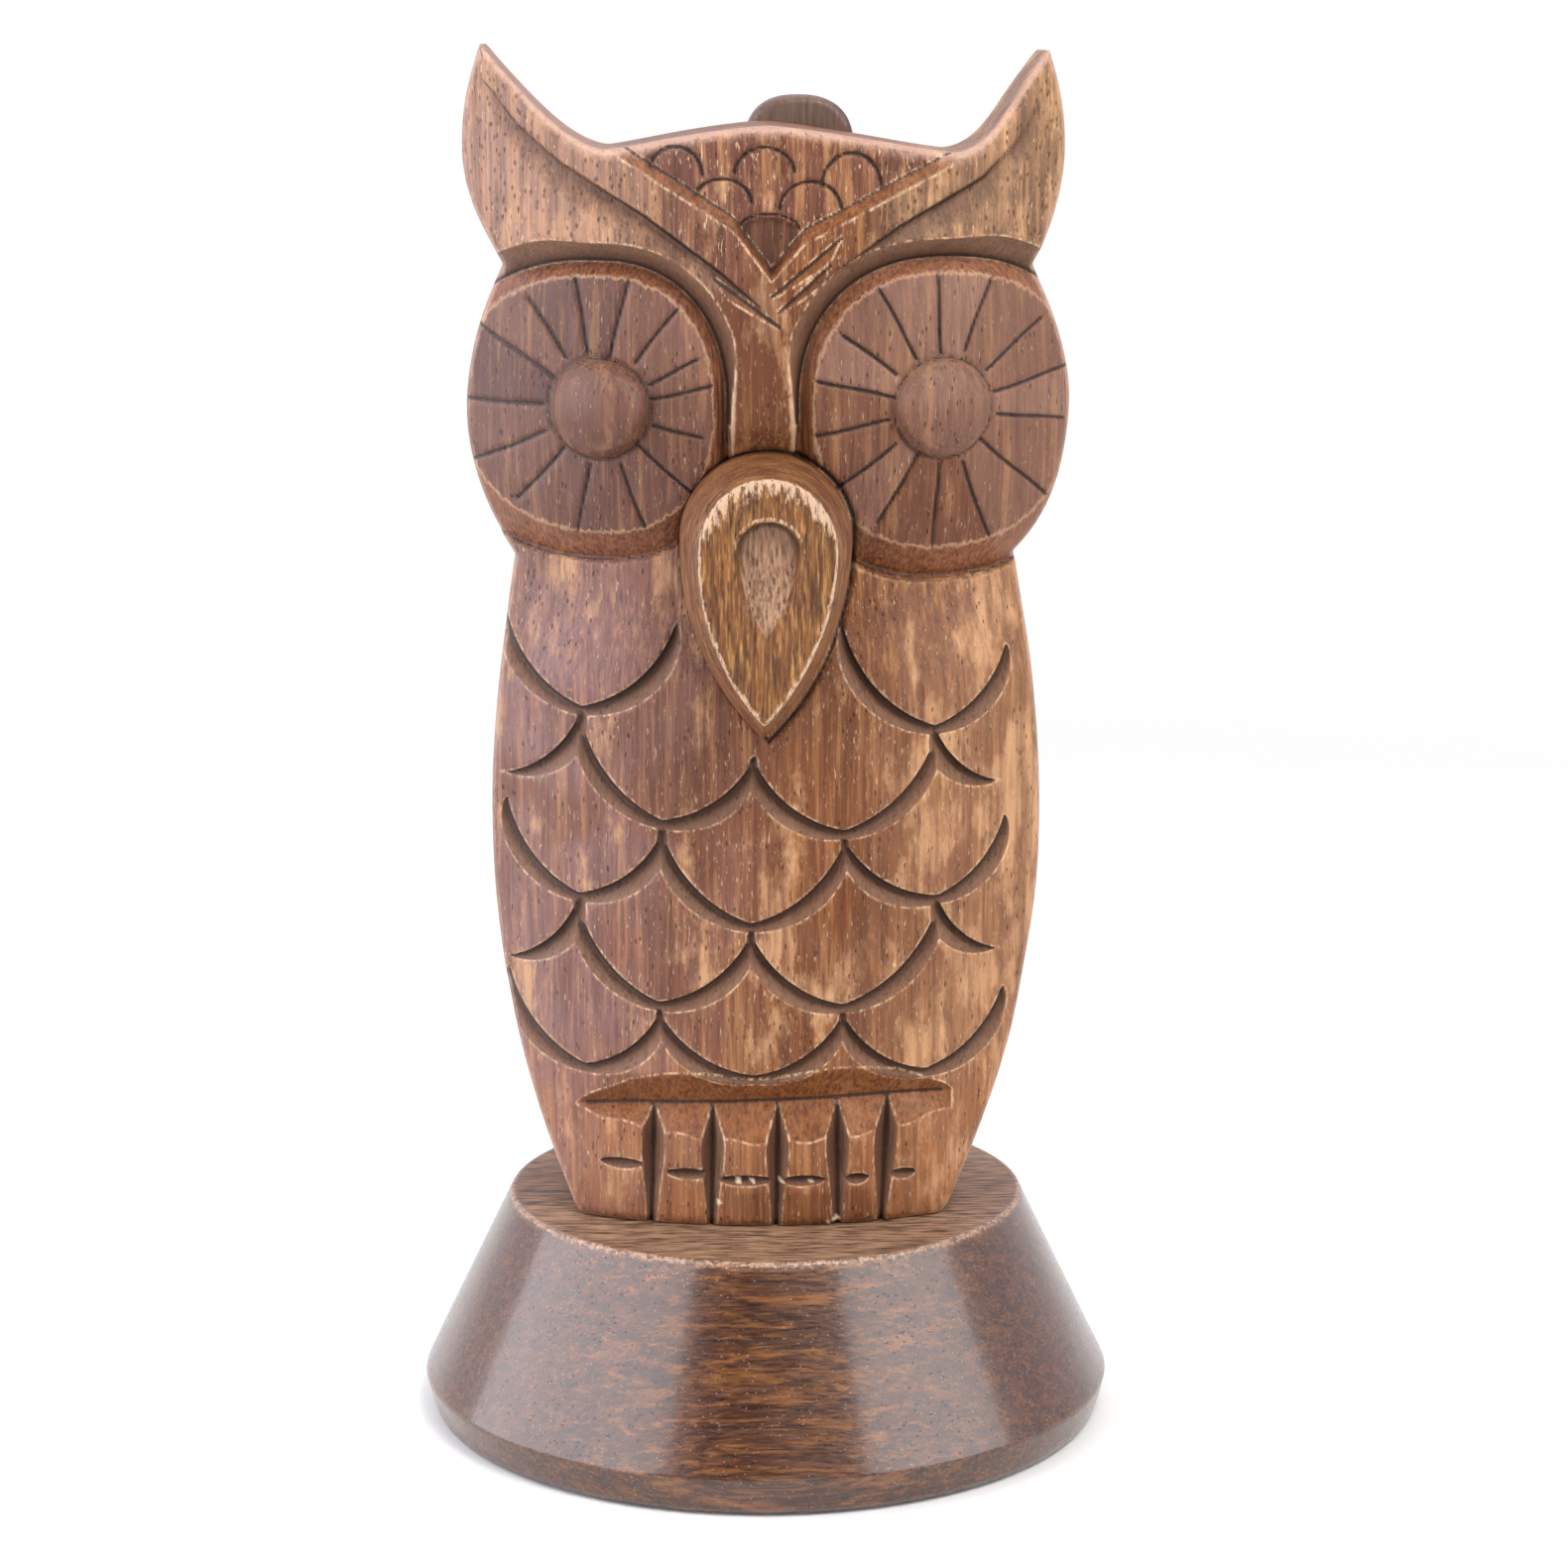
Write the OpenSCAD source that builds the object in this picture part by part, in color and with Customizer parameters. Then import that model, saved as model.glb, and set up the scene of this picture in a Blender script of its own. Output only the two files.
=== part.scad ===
// Eyeglasses display stand: an owl carved from one block of wood, on a round turned base.
// The glasses sit over the beak, which is a separate block glued to the face.
// Origin: on the table, on the axis of the base. +Z is up and the owl looks towards -Y.

/* [Base] */
// Radius of the base at its top edge
base_top_r = 29.5; // [28:0.5:32]
// Largest radius of the base, a little above the table
base_max_r = 39.6; // [37:0.2:44]
// Height of that largest radius
base_max_z = 4.5; // [3.5:0.5:8]
// Radius where the wood of the base ends at the bottom
base_foot_r = 38.4; // [36:0.2:39]
// Height of the top of the base
base_top_z = 25.7; // [23:0.1:29]

/* [Body] */
// Height of the ear tips above the table
ear_tip_z = 155.8; // [153:0.1:158]
// Half width of the body across the belly
belly_half_w = 30.6; // [29:0.1:32]
// Half width of the body where it stands on the base
foot_half_w = 21; // [19:0.5:22.5]
// Distance from the back of the body to its foremost line
body_depth = 27.5; // [25:0.5:30]
// Radius of the rounded front, about an upright axis
front_r = 46; // [44:1:60]
// Flat back of the body
back_y = 10.5; // [9:0.5:12]

/* [Face] */
// Distance of each eye from the centre line
eye_x = 18.7; // [18:0.1:19.5]
// Height of the eyes
eye_z = 116.9; // [116:0.1:118]
// Half width of an eye disc
disc_half_w = 14.2; // [13.5:0.1:14.5]
// Half height of an eye disc
disc_half_h = 15.7; // [15:0.1:16]
// Radius of the raised pupil
pupil_r = 5.4; // [4.5:0.1:6]
// Number of cut rays round one eye
ray_count = 15; // [10:1:18]

/* [Beak] */
// How far the beak stands out from the face
beak_depth = 12; // [9:0.5:14]
// Half width of the beak where it meets the face
beak_half_w = 9.3; // [8.5:0.1:10]
// Height of the top of the beak
beak_top_z = 112.6; // [111:0.1:113.5]
// Height of the point of the beak
beak_tip_z = 80; // [78:0.5:82]

/* [Feathers and toes] */
// Sideways distance from one feather to the next in a row
feather_pitch_x = 19.6; // [18.5:0.1:20.5]
// Height from one row of feathers to the next
feather_pitch_z = 10.2; // [9.8:0.1:10.4]
// Depth of the cut under a feather
feather_cut = 1.4; // [0.8:0.1:2]
// Distance from one toe to the next
toe_pitch = 6.6; // [6:0.1:7]

/* [Hidden] */

// Colours of the woods and the hidden pieces
wood_body = [0.56, 0.38, 0.28];
wood_beak = [0.66, 0.44, 0.29];
wood_base = [0.38, 0.23, 0.18];
wood_tab = [0.42, 0.29, 0.23];
wood_dowel = [0.80, 0.66, 0.46];
steel = [0.72, 0.72, 0.74];
felt = [0.13, 0.12, 0.12];

// Pad: let into the underside, and a little thicker than its recess
pad_r = 33;
pad_t = 1.2;
rim_z = 0.4;
recess_z = pad_t;
pad_gap = 0.4;
edge_round = 0.8;
edge_steps = 4;
side_slope = atan((base_max_r - base_top_r) / (base_top_z - base_max_z));

// Screw from below, under the pad
screw_r = 2;
screw_len = 38;
screw_head_r = 4;
screw_head_h = 2.4;
screw_sink_r = 4.6;
screw_seat_z = 6.5;
screw_clear = 0.3;
pilot_clear = 0.05;
screw_head_z = screw_seat_z - screw_head_h;
screw_top_z = screw_head_z + screw_len;
screw_slot_w = 1;
screw_slot_len = 4.8;
screw_point_h = 4;
screw_tip_r = 0.2;

// Dowels that keep the owl from turning on the base
dowel_r = 2.5;
dowel_len = 18;
dowel_x = 11;
dowel_y = -2.5;
dowel_clear = 0.05;
dowel_end_gap = 0.5;

// Body outline, right half
head_top_z = ear_tip_z - 8.6;
head_side = [16.5, ear_tip_z - 11.3];
ear_tip = [30.5, ear_tip_z];
ear_out = [33.2, ear_tip_z - 11.5];
lid_notch = [29, eye_z + 15];
shoulder = [27.2, eye_z - 16.2];
belly = [belly_half_w, 69];
foot = [foot_half_w, base_top_z];
foot_pull = [4.8, 10.8];
belly_pull_low = 18;
belly_pull_high = 11;
shoulder_pull = [1.4, -8.5];
notch_pull = [2.4, 5];
ear_tip_pull = [-5, -5.8];
head_side_pull = 5;
disc_turn = 42;
disc_power = 2.5;
curve_steps = 8;
disc_steps = 9;
front_y = back_y - body_depth;
front_axis_y = front_y + front_r;
far = 60;

// Face carving
disc_sink = 1.5;
pupil_gap = 0.8;
pupil_ball_r = 7.3;
pupil_proud = 1.6;
lid_half_w = 14;
lid_rise = 2.6;
lid_depth = 2.6;
lid_margin = 1.5;
ray_w = 0.5;
ray_depth = 0.7;
ray_in = 6.2;
ray_out = 12.6;
chin_depth = 2.2;
chin_shift = [-1, -3.4];
chin_margin = 3;
brow_w = 1.5;
brow_depth = 1.6;
brow_top_x = 26;
brow_top_z = ear_tip_z - 6;
brow_low_z = eye_z + 11.5;
scale_r = 4.4;
scale_w = 0.45;
scale_depth = 0.6;
scale_rows = 3;
scale_pitch_x = 9.2;
scale_pitch_z = 4.1;
scale_top_z = ear_tip_z - 13.8;

// Feather and toe carving
feather_rows = 5;
feather_low_z = 43.4;
feather_drop = 11.3;
feather_width = 1.9;
feather_bulge = 2.2;
feather_reach_x = 26;
toe_top_z = 40.4;
toe_cut_w = 1.5;
toe_cut_depth = 1.7;
toe_grooves = 5;
toe_shelf_half_w = 20;
toe_shelf_inset = 4;
toe_shelf_h = 2.2;
knuckle_z = 32;
knuckle_w = 3.6;
knuckle_h = 1.1;

// Beak: round at the top, and two long arcs down to the point
beak_axis_z = beak_top_z - beak_half_w;
beak_reach = beak_axis_z - beak_tip_z;
seat_depth = 1.4;
beak_base_y = front_y + seat_depth;
beak_face_y = beak_base_y - beak_depth - seat_depth;
beak_lip = 2.3;
beak_point_lip = 4.9;
beak_top_lip = 0.6;
beak_land = 3;
beak_shoulder_y = beak_face_y + 1.4;
beak_slab = 0.5;
nostril_half_w = 3;
nostril_tip_r = 0.4;
nostril_tip_z = beak_tip_z + 13.7;
nostril_depth = 1.8;
pin_r = 3;
pin_len = 16;
pin_clear = 0.05;

// Tab behind the head
tab_x = 4.2;
tab_half_w = 6.2;
tab_t = 8;
tab_top_z = 150;
tab_len = 34;

// Points along a cubic curve from a to d, with b and c pulling it
function curve(a, b, c, d) = [
    for (i = [0 : curve_steps])
        let (t = i / curve_steps, s = 1 - t)
        s * s * s * a + 3 * s * s * t * b + 3 * s * t * t * c + t * t * t * d
];

// A point of the squarish oval that bounds an eye disc
function oval(angle, half_w, half_h) = [
    half_w * sign(cos(angle)) * pow(abs(cos(angle)), 2 / disc_power),
    half_h * sign(sin(angle)) * pow(abs(sin(angle)), 2 / disc_power)
];

// Points along the arc from p to q that swells by bulge to the right of the way from p to q
function swelling(p, q, bulge) =
    let (chord = norm(q - p), r = (chord * chord / 4 + bulge * bulge) / (2 * bulge),
         half = asin(min(1, chord / (2 * r))), along = (q - p) / chord,
         side = [along[1], -along[0]], centre = (p + q) / 2 + side * (bulge - r))
    [for (i = [0 : curve_steps])
        let (a = half * (2 * i / curve_steps - 1))
        centre + r * (sin(a) * along + cos(a) * side)];

// Right half of the front outline, from the middle of the foot to the middle of the head
function half_outline() = concat(
    curve(foot, foot + foot_pull, belly - [0, belly_pull_low], belly),
    curve(belly, belly + [0, belly_pull_high], shoulder + shoulder_pull, shoulder),
    [for (i = [0 : disc_steps])
        let (a = disc_turn * (2 * i / disc_steps - 1))
        [eye_x, eye_z] + oval(a, disc_half_w, disc_half_h)],
    [lid_notch],
    curve(lid_notch, lid_notch + notch_pull, ear_out, ear_tip),
    curve(ear_tip, ear_tip + ear_tip_pull, head_side + [head_side_pull, 0], head_side),
    [[0, head_top_z]]
);

function mirrored(points) = [for (i = [len(points) - 1 : -1 : 0]) [-points[i][0], points[i][1]]];

// The angle round the front's axis at which the surface has a given x
function lean(x) = asin(x / front_r);

// Stands a shape drawn in x and height upright, with its thickness running back from y
module upright(y, depth) {
    translate([0, y + depth, 0])
        rotate([90, 0, 0])
            linear_extrude(depth)
                children();
}

// Puts a shape drawn about its own origin onto the rounded front at x and z, sunk by depth
module on_front(x, z, depth) {
    translate([0, front_axis_y, z])
        rotate([0, 0, lean(x)])
            translate([0, depth - front_r, 0])
                rotate([90, 0, 0])
                    linear_extrude(far)
                        children();
}

module block() {
    intersection() {
        upright(front_y - 1, body_depth + 1)
            polygon(concat(half_outline(), mirrored(half_outline())));
        translate([0, front_axis_y, 0])
            cylinder(h = ear_tip_z + 1, r = front_r, $fn = 180);
    }
}

module disc_shape(half_w, half_h) {
    polygon([for (i = [0 : 35]) oval(10 * i, half_w, half_h)]);
}

// The crescent under the brow, between the lid and the top of the eye disc
module lid_cut() {
    on_front(eye_x, eye_z, lid_depth)
        difference() {
            translate([0, lid_rise])
                disc_shape(lid_half_w, disc_half_h);
            disc_shape(disc_half_w + lid_margin, disc_half_h);
        }
}

// The hollow below the eye disc, where the throat is cut back
module chin_cut() {
    on_front(eye_x, eye_z, chin_depth)
        difference() {
            translate(chin_shift)
                disc_shape(disc_half_w, disc_half_h);
            disc_shape(disc_half_w + chin_margin, disc_half_h);
        }
}

module eye_rays() {
    for (i = [0 : ray_count - 1])
        on_front(eye_x, eye_z, ray_depth)
            rotate(360 * (i + 0.5) / ray_count)
                translate([ray_in, -ray_w / 2])
                    square([ray_out - ray_in, ray_w]);
}

// A ring cut round the pupil leaves it standing proud
module pupil_ring() {
    on_front(eye_x, eye_z, disc_sink)
        difference() {
            circle(r = pupil_r + pupil_gap, $fn = 48);
            circle(r = pupil_r, $fn = 48);
        }
}

module brow_cut() {
    run = sqrt(pow(brow_top_x, 2) + pow(brow_top_z - brow_low_z, 2));
    on_front(brow_top_x / 2, (brow_top_z + brow_low_z) / 2, brow_depth)
        rotate(atan2(brow_top_z - brow_low_z, brow_top_x))
            translate([-run / 2, -brow_w / 2])
                square([run, brow_w]);
}

module forehead_scale(x, z) {
    on_front(x, z, scale_depth)
        intersection() {
            difference() {
                circle(r = scale_r, $fn = 40);
                circle(r = scale_r - scale_w, $fn = 40);
            }
            translate([-scale_r, 0])
                square([2 * scale_r, scale_r]);
        }
}

// Three, two and one scales, in rows that narrow down the forehead
module forehead_scales() {
    for (row = [0 : scale_rows - 1])
        for (i = [0 : scale_rows - 1 - row])
            forehead_scale((i - (scale_rows - 1 - row) / 2) * scale_pitch_x,
                           scale_top_z - row * scale_pitch_z);
}

// One side of a feather: a crescent that runs from the shoulder of the feather down to its tip
module feather_arm(x, z, side) {
    start_x = x + side * feather_pitch_x / 2;
    middle_x = (x + start_x) / 2;
    half = feather_pitch_x / 4 / cos(lean(middle_x));
    top = [side * half, feather_drop / 2];
    tip = [-side * half, -feather_drop / 2];
    outer = swelling(top, tip, -side * feather_bulge);
    inner = swelling(top, tip, -side * (feather_bulge + feather_width));
    on_front(middle_x, z + feather_drop / 2, feather_cut)
        polygon(concat(outer, [for (i = [curve_steps - 1 : -1 : 1]) inner[i]]));
}

// Rows alternate between two or four feathers and three, and each stays on the front
module feathers() {
    for (row = [0 : feather_rows - 1]) {
        shift = row % 2 == 0 ? 0 : 0.5;
        for (i = [-2 : 1 : 2])
            for (side = [-1, 1]) {
                x = (i + shift) * feather_pitch_x;
                under_beak = row == feather_rows - 1 && i == 0;
                if (abs(x + side * feather_pitch_x / 4) < feather_reach_x && !under_beak)
                    feather_arm(x, feather_low_z + row * feather_pitch_z, side);
            }
    }
}

// The slanting shelf above the toes, the grooves between them and a notch across each
module toe_cuts() {
    on_front(0, toe_top_z, toe_cut_depth)
        polygon([[-toe_shelf_half_w, 0], [toe_shelf_half_w, 0],
                 [toe_shelf_half_w - toe_shelf_inset, toe_shelf_h],
                 [toe_shelf_inset - toe_shelf_half_w, toe_shelf_h]]);
    for (i = [0 : toe_grooves - 1]) {
        x = (i - (toe_grooves - 1) / 2) * toe_pitch;
        on_front(x, base_top_z, toe_cut_depth)
            translate([-toe_cut_w / 2, -1])
                square([toe_cut_w, toe_top_z - base_top_z + 1]);
    }
    for (i = [0 : toe_grooves]) {
        x = (i - toe_grooves / 2) * toe_pitch;
        on_front(x, knuckle_z, toe_cut_depth / 2)
            translate([-knuckle_w / 2, 0])
                square([knuckle_w, knuckle_h]);
    }
}

module pupil() {
    intersection() {
        on_front(eye_x, eye_z, disc_sink + 1)
            circle(r = pupil_r, $fn = 48);
        translate([eye_x, front_axis_y - cos(lean(eye_x)) * (front_r - pupil_ball_r), eye_z])
            sphere(r = pupil_ball_r + pupil_proud, $fn = 60);
    }
}

module both_sides() {
    children();
    mirror([1, 0, 0])
        children();
}

module screw_bore(r, low, high) {
    translate([0, dowel_y, low])
        cylinder(h = high - low, r = r, $fn = 48);
}

module dowel_bores() {
    for (side = [-1, 1])
        translate([side * dowel_x, dowel_y, base_top_z - dowel_len / 2 - dowel_end_gap])
            cylinder(h = dowel_len + 2 * dowel_end_gap, r = dowel_r + dowel_clear, $fn = 48);
}

module pin_bore() {
    translate([0, beak_base_y - pin_len / 2 - dowel_end_gap, beak_axis_z])
        rotate([-90, 0, 0])
            cylinder(h = pin_len + 2 * dowel_end_gap, r = pin_r + pin_clear, $fn = 48);
}

// Flat seat let into the face for the back of the beak
module beak_seat() {
    upright(front_y - 1, beak_base_y - front_y + 1)
        beak_shape(0, 0);
}

module owl_body() {
    color(wood_body)
        difference() {
            union() {
                difference() {
                    block();
                    both_sides() {
                        lid_cut();
                        chin_cut();
                        eye_rays();
                        pupil_ring();
                        brow_cut();
                    }
                    forehead_scales();
                    feathers();
                    toe_cuts();
                }
                both_sides()
                    pupil();
            }
            beak_seat();
            screw_bore(screw_r + pilot_clear, base_top_z - 1, screw_top_z + 1);
            dowel_bores();
            pin_bore();
        }
}

// Beak outline, drawn in by lip at the round top and sides and by point_lip at the point
module beak_shape(lip, point_lip) {
    half_w = beak_half_w - lip;
    top_h = beak_half_w - lip * beak_top_lip;
    reach = beak_reach - point_lip;
    side_r = (half_w * half_w + reach * reach) / (2 * half_w);
    sweep = asin(reach / side_r);
    right = [for (i = [0 : curve_steps])
        let (a = -sweep * (1 - i / curve_steps))
        [half_w - side_r + side_r * cos(a), beak_axis_z + side_r * sin(a)]];
    top = [for (i = [1 : 2 * curve_steps - 1])
        let (a = 90 * i / curve_steps)
        [half_w * cos(a), beak_axis_z + top_h * sin(a)]];
    left = [for (i = [curve_steps : -1 : 1]) [-right[i][0], right[i][1]]];
    polygon(concat(right, top, left));
}

module nostril_shape() {
    hull() {
        translate([0, beak_axis_z])
            circle(r = nostril_half_w, $fn = 32);
        translate([0, nostril_tip_z + nostril_tip_r])
            circle(r = nostril_tip_r, $fn = 16);
    }
}

module beak() {
    color(wood_beak)
        difference() {
            hull() {
                upright(beak_base_y - beak_land, beak_land)
                    beak_shape(0, 0);
                upright(beak_shoulder_y, beak_slab)
                    beak_shape(beak_lip / 2, beak_point_lip / 2);
                upright(beak_face_y, beak_slab)
                    beak_shape(beak_lip, beak_point_lip);
            }
            upright(beak_face_y - 1, nostril_depth + 1)
                nostril_shape();
            pin_bore();
        }
}

module beak_dowel() {
    color(wood_dowel)
        translate([0, beak_base_y - pin_len / 2, beak_axis_z])
            rotate([-90, 0, 0])
                cylinder(h = pin_len, r = pin_r, $fn = 48);
}

module base() {
    color(wood_base)
        difference() {
            rotate_extrude($fn = 180)
                polygon(concat(
                    [[0, recess_z], [pad_r + pad_gap, recess_z], [pad_r + pad_gap, rim_z],
                     [base_foot_r, rim_z], [base_max_r, base_max_z]],
                    [for (i = [0 : edge_steps])
                        let (a = side_slope + (90 - side_slope) * i / edge_steps)
                        [base_top_r - edge_round + edge_round * cos(a),
                         base_top_z - edge_round + edge_round * sin(a)]],
                    [[0, base_top_z]]
                ));
            screw_bore(screw_r + screw_clear, 0, base_top_z + 1);
            screw_bore(screw_sink_r, 0, screw_head_z);
            translate([0, dowel_y, screw_head_z])
                cylinder(h = screw_head_h, r1 = screw_sink_r, r2 = screw_r + screw_clear, $fn = 48);
            dowel_bores();
        }
}

module felt_pad() {
    color(felt)
        cylinder(h = pad_t, r = pad_r, $fn = 120);
}

// Countersunk wood screw, drawn at its outside size: head, shank and point, with a cross slot
module base_screw() {
    shank_len = screw_len - screw_head_h - screw_point_h;
    color(steel)
        translate([0, dowel_y, screw_head_z])
            difference() {
                union() {
                    cylinder(h = screw_head_h, r1 = screw_head_r, r2 = screw_r, $fn = 48);
                    translate([0, 0, screw_head_h])
                        cylinder(h = shank_len, r = screw_r, $fn = 48);
                    translate([0, 0, screw_len - screw_point_h])
                        cylinder(h = screw_point_h, r1 = screw_r, r2 = screw_tip_r, $fn = 48);
                }
                for (turn = [0, 90])
                    rotate(turn)
                        translate([-screw_slot_len / 2, -screw_slot_w / 2, -screw_slot_w])
                            cube([screw_slot_len, screw_slot_w, 2 * screw_slot_w]);
            }
}

module body_dowels() {
    color(wood_dowel)
        for (side = [-1, 1])
            translate([side * dowel_x, dowel_y, base_top_z - dowel_len / 2])
                cylinder(h = dowel_len, r = dowel_r, $fn = 48);
}

// A round-ended tongue, glued flat on the back of the head
module rear_tab() {
    top_z = tab_top_z - tab_half_w;
    low_z = tab_top_z - tab_len + tab_half_w;
    color(wood_tab)
        upright(back_y, tab_t)
            union() {
                translate([tab_x, top_z])
                    circle(r = tab_half_w, $fn = 48);
                translate([tab_x, low_z])
                    circle(r = tab_half_w, $fn = 48);
                translate([tab_x - tab_half_w, low_z])
                    square([2 * tab_half_w, top_z - low_z]);
            }
}

base();
felt_pad();
base_screw();
body_dowels();
owl_body();
beak();
beak_dowel();
rear_tab();
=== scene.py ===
import math

import bpy
import numpy as np
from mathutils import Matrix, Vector
from mathutils.geometry import delaunay_2d_cdt


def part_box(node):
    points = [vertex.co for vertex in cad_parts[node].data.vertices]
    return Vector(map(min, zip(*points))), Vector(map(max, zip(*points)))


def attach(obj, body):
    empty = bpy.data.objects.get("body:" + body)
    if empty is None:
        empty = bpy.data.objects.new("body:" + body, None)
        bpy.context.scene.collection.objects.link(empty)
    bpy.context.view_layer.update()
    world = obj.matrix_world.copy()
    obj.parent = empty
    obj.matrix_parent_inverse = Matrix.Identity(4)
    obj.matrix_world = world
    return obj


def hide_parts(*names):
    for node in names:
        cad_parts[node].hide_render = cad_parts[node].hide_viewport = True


# The carved owl that holds a pair of glasses on its beak. Lengths are in millimetres until a
# mesh is made. x runs to the right, z up, and y into the stand, as in the CAD frame.

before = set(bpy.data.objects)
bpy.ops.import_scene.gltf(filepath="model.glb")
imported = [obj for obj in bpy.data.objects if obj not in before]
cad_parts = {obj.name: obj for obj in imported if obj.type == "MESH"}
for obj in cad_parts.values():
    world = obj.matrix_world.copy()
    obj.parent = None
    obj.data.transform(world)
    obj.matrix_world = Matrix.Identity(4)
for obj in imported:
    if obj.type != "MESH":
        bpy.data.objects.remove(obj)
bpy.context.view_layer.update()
MM = 0.001


def box_mm(node):
    """Lowest and highest corner of a CAD node, in millimetres."""
    low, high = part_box(node)
    return np.array(low) / MM, np.array(high) / MM


body_low, body_high = box_mm("owl_body")
beak_low, beak_high = box_mm("beak")
base_low, base_high = box_mm("base")
tab_low, tab_high = box_mm("rear_tab")

FRONT_Y = body_low[1]
BACK_Y = body_high[1]
FOOT_Z = body_low[2]
EAR_TIP_Z = body_high[2]
# radius of the carved front across the block
FRONT_R = 46.0
BEAK_TIP_Z = beak_low[2]
BEAK_HALF_W = (beak_high[0] - beak_low[0]) / 2
BEAK_AXIS_Z = beak_high[2] - BEAK_HALF_W
EYE_UP = 91.3
EYE_Z = FOOT_Z + EYE_UP

rng = np.random.default_rng(7)


# ---------------------------------------------------------------- small maths

def smooth(t):
    """0 below 0, 1 above 1, and an S between."""
    t = np.clip(t, 0.0, 1.0)
    return t * t * (3.0 - 2.0 * t)


def cubic(a, b, c, d, count):
    """Points along a cubic curve from a to d, pulled by b and c, without the last point."""
    t = (np.arange(count) / count)[:, None]
    s = 1.0 - t
    a, b, c, d = (np.array(p, float) for p in (a, b, c, d))
    return s**3 * a + 3 * s * s * t * b + 3 * s * t * t * c + t**3 * d


def lattice_noise(seed):
    """A smooth noise of x and z that changes over about one unit, between -1 and 1."""
    size = 64
    grid = np.random.default_rng(seed).uniform(-1.0, 1.0, (size, size))

    def value(x, z):
        ix, iz = np.floor(x).astype(int), np.floor(z).astype(int)
        fx, fz = smooth(x - ix), smooth(z - iz)
        left, right, below, above = ix % size, (ix + 1) % size, iz % size, (iz + 1) % size
        low = grid[left, below] * (1 - fx) + grid[right, below] * fx
        high = grid[left, above] * (1 - fx) + grid[right, above] * fx
        return low * (1 - fz) + high * fz

    return value


def arc_coordinates(x, z, start, end, bulge):
    """Share of the way along the arc from start to end, and the distance outside it.
    The arc swells by bulge, to the left of the way when bulge is positive."""
    start, end = np.array(start, float), np.array(end, float)
    chord = end - start
    length = math.hypot(*chord)
    along = chord / length
    left = np.array([-along[1], along[0]])
    side = left if bulge > 0 else -left
    swell = abs(bulge)
    radius = (length**2 / 4 + swell**2) / (2 * swell)
    centre = (start + end) / 2 + side * (swell - radius)
    dx, dz = x - centre[0], z - centre[1]
    out = dx * side[0] + dz * side[1]
    forward = dx * along[0] + dz * along[1]
    half = math.asin(min(1.0, length / (2 * radius)))
    angle = np.arctan2(forward, out)
    return 0.5 + angle / (2 * half), np.hypot(dx, dz) - radius


def line_distance(x, z, points):
    """Distance to a broken line and the share of its length at the nearest point."""
    points = np.array(points, float)
    lengths = np.hypot(*(points[1:] - points[:-1]).T)
    total = lengths.sum()
    best = np.full(np.shape(x), 1e9)
    share = np.zeros(np.shape(x))
    done = 0.0
    for a, b, length in zip(points[:-1], points[1:], lengths):
        ux, uz = (b - a) / length
        t = np.clip((x - a[0]) * ux + (z - a[1]) * uz, 0.0, length)
        d = np.hypot(x - a[0] - t * ux, z - a[1] - t * uz)
        nearer = d < best
        best = np.where(nearer, d, best)
        share = np.where(nearer, (done + t) / total, share)
        done += length
    return best, share


# ---------------------------------------------------------------- the owl's outline

SIDES = {
    # each side as it was drawn by hand: foot, shoulder and how fast it flares to the disc,
    # widest disc, notch above it, widest ear, ear tip and ear foot
    -1: {"foot_x": 21.5, "shoulder": (27.7, 3.0), "disc_x": 33.2, "notch_x": 28.9, "ear_x": 33.4,
         "tip": (31.2, EAR_TIP_Z), "ear_foot": (17.3, 144.7)},
    1: {"foot_x": 20.1, "shoulder": (27.9, 4.3), "disc_x": 34.1, "notch_x": 29.5, "ear_x": 32.9,
        "tip": (31.0, EAR_TIP_Z - 0.8), "ear_foot": (20.4, 144.3)},
}


def half_outline(side):
    """One half of the front outline, from the middle of the foot to the head's peak."""
    own = SIDES[side]
    foot = np.array([own["foot_x"], FOOT_Z])
    belly = np.array([30.9, FOOT_Z + 43.3])
    shoulder_x, flare = own["shoulder"]
    shoulder = np.array([shoulder_x, EYE_Z - 16.8])
    widest = np.array([own["disc_x"], EYE_Z - 1.0])
    notch = np.array([own["notch_x"], EYE_Z + 15.0])
    ear_side = np.array([own["ear_x"], EAR_TIP_Z - 11.0])
    tip = np.array(own["tip"])
    ear_foot = np.array(own["ear_foot"])
    peak = np.array([0.0, EAR_TIP_Z - 8.6])
    return np.concatenate([
        [[0.0, FOOT_Z]],
        cubic(foot - (1.2, 0), foot - (0.4, 0), foot + (0.1, 0.4), foot + (0.6, 1.4), 8),
        cubic(foot + (0.6, 1.4), foot + (4.8, 11.0), belly - (0, 18), belly, 110),
        cubic(belly, belly + (0, 11), shoulder + (1.4, -8.5), shoulder, 80),
        cubic(shoulder, shoulder + (flare, 3.8), widest - (0, 6), widest, 60),
        cubic(widest, widest + (0, 5), notch + (2.4, -5), notch, 50),
        cubic(notch, notch + (1.2, 3), ear_side - (0, 6), ear_side, 50),
        cubic(ear_side, ear_side + (0, 5), tip + (0.9, -2.5), tip, 40),
        cubic(tip, tip + (-5.0, -5.6), ear_foot + (4.6, 0.5), ear_foot, 80),
        cubic(ear_foot, ear_foot - (5, -0.6), peak + (5, -0.2), peak, 50),
    ])


def resampled(points, step):
    """The closed line through points, with even steps."""
    closed = np.vstack([points, points[:1]])
    lengths = np.hypot(*(closed[1:] - closed[:-1]).T)
    at = np.concatenate([[0.0], np.cumsum(lengths)])
    count = int(at[-1] / step)
    wanted = np.arange(count) * at[-1] / count
    return np.stack([np.interp(wanted, at, closed[:, i]) for i in (0, 1)], -1)


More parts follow.
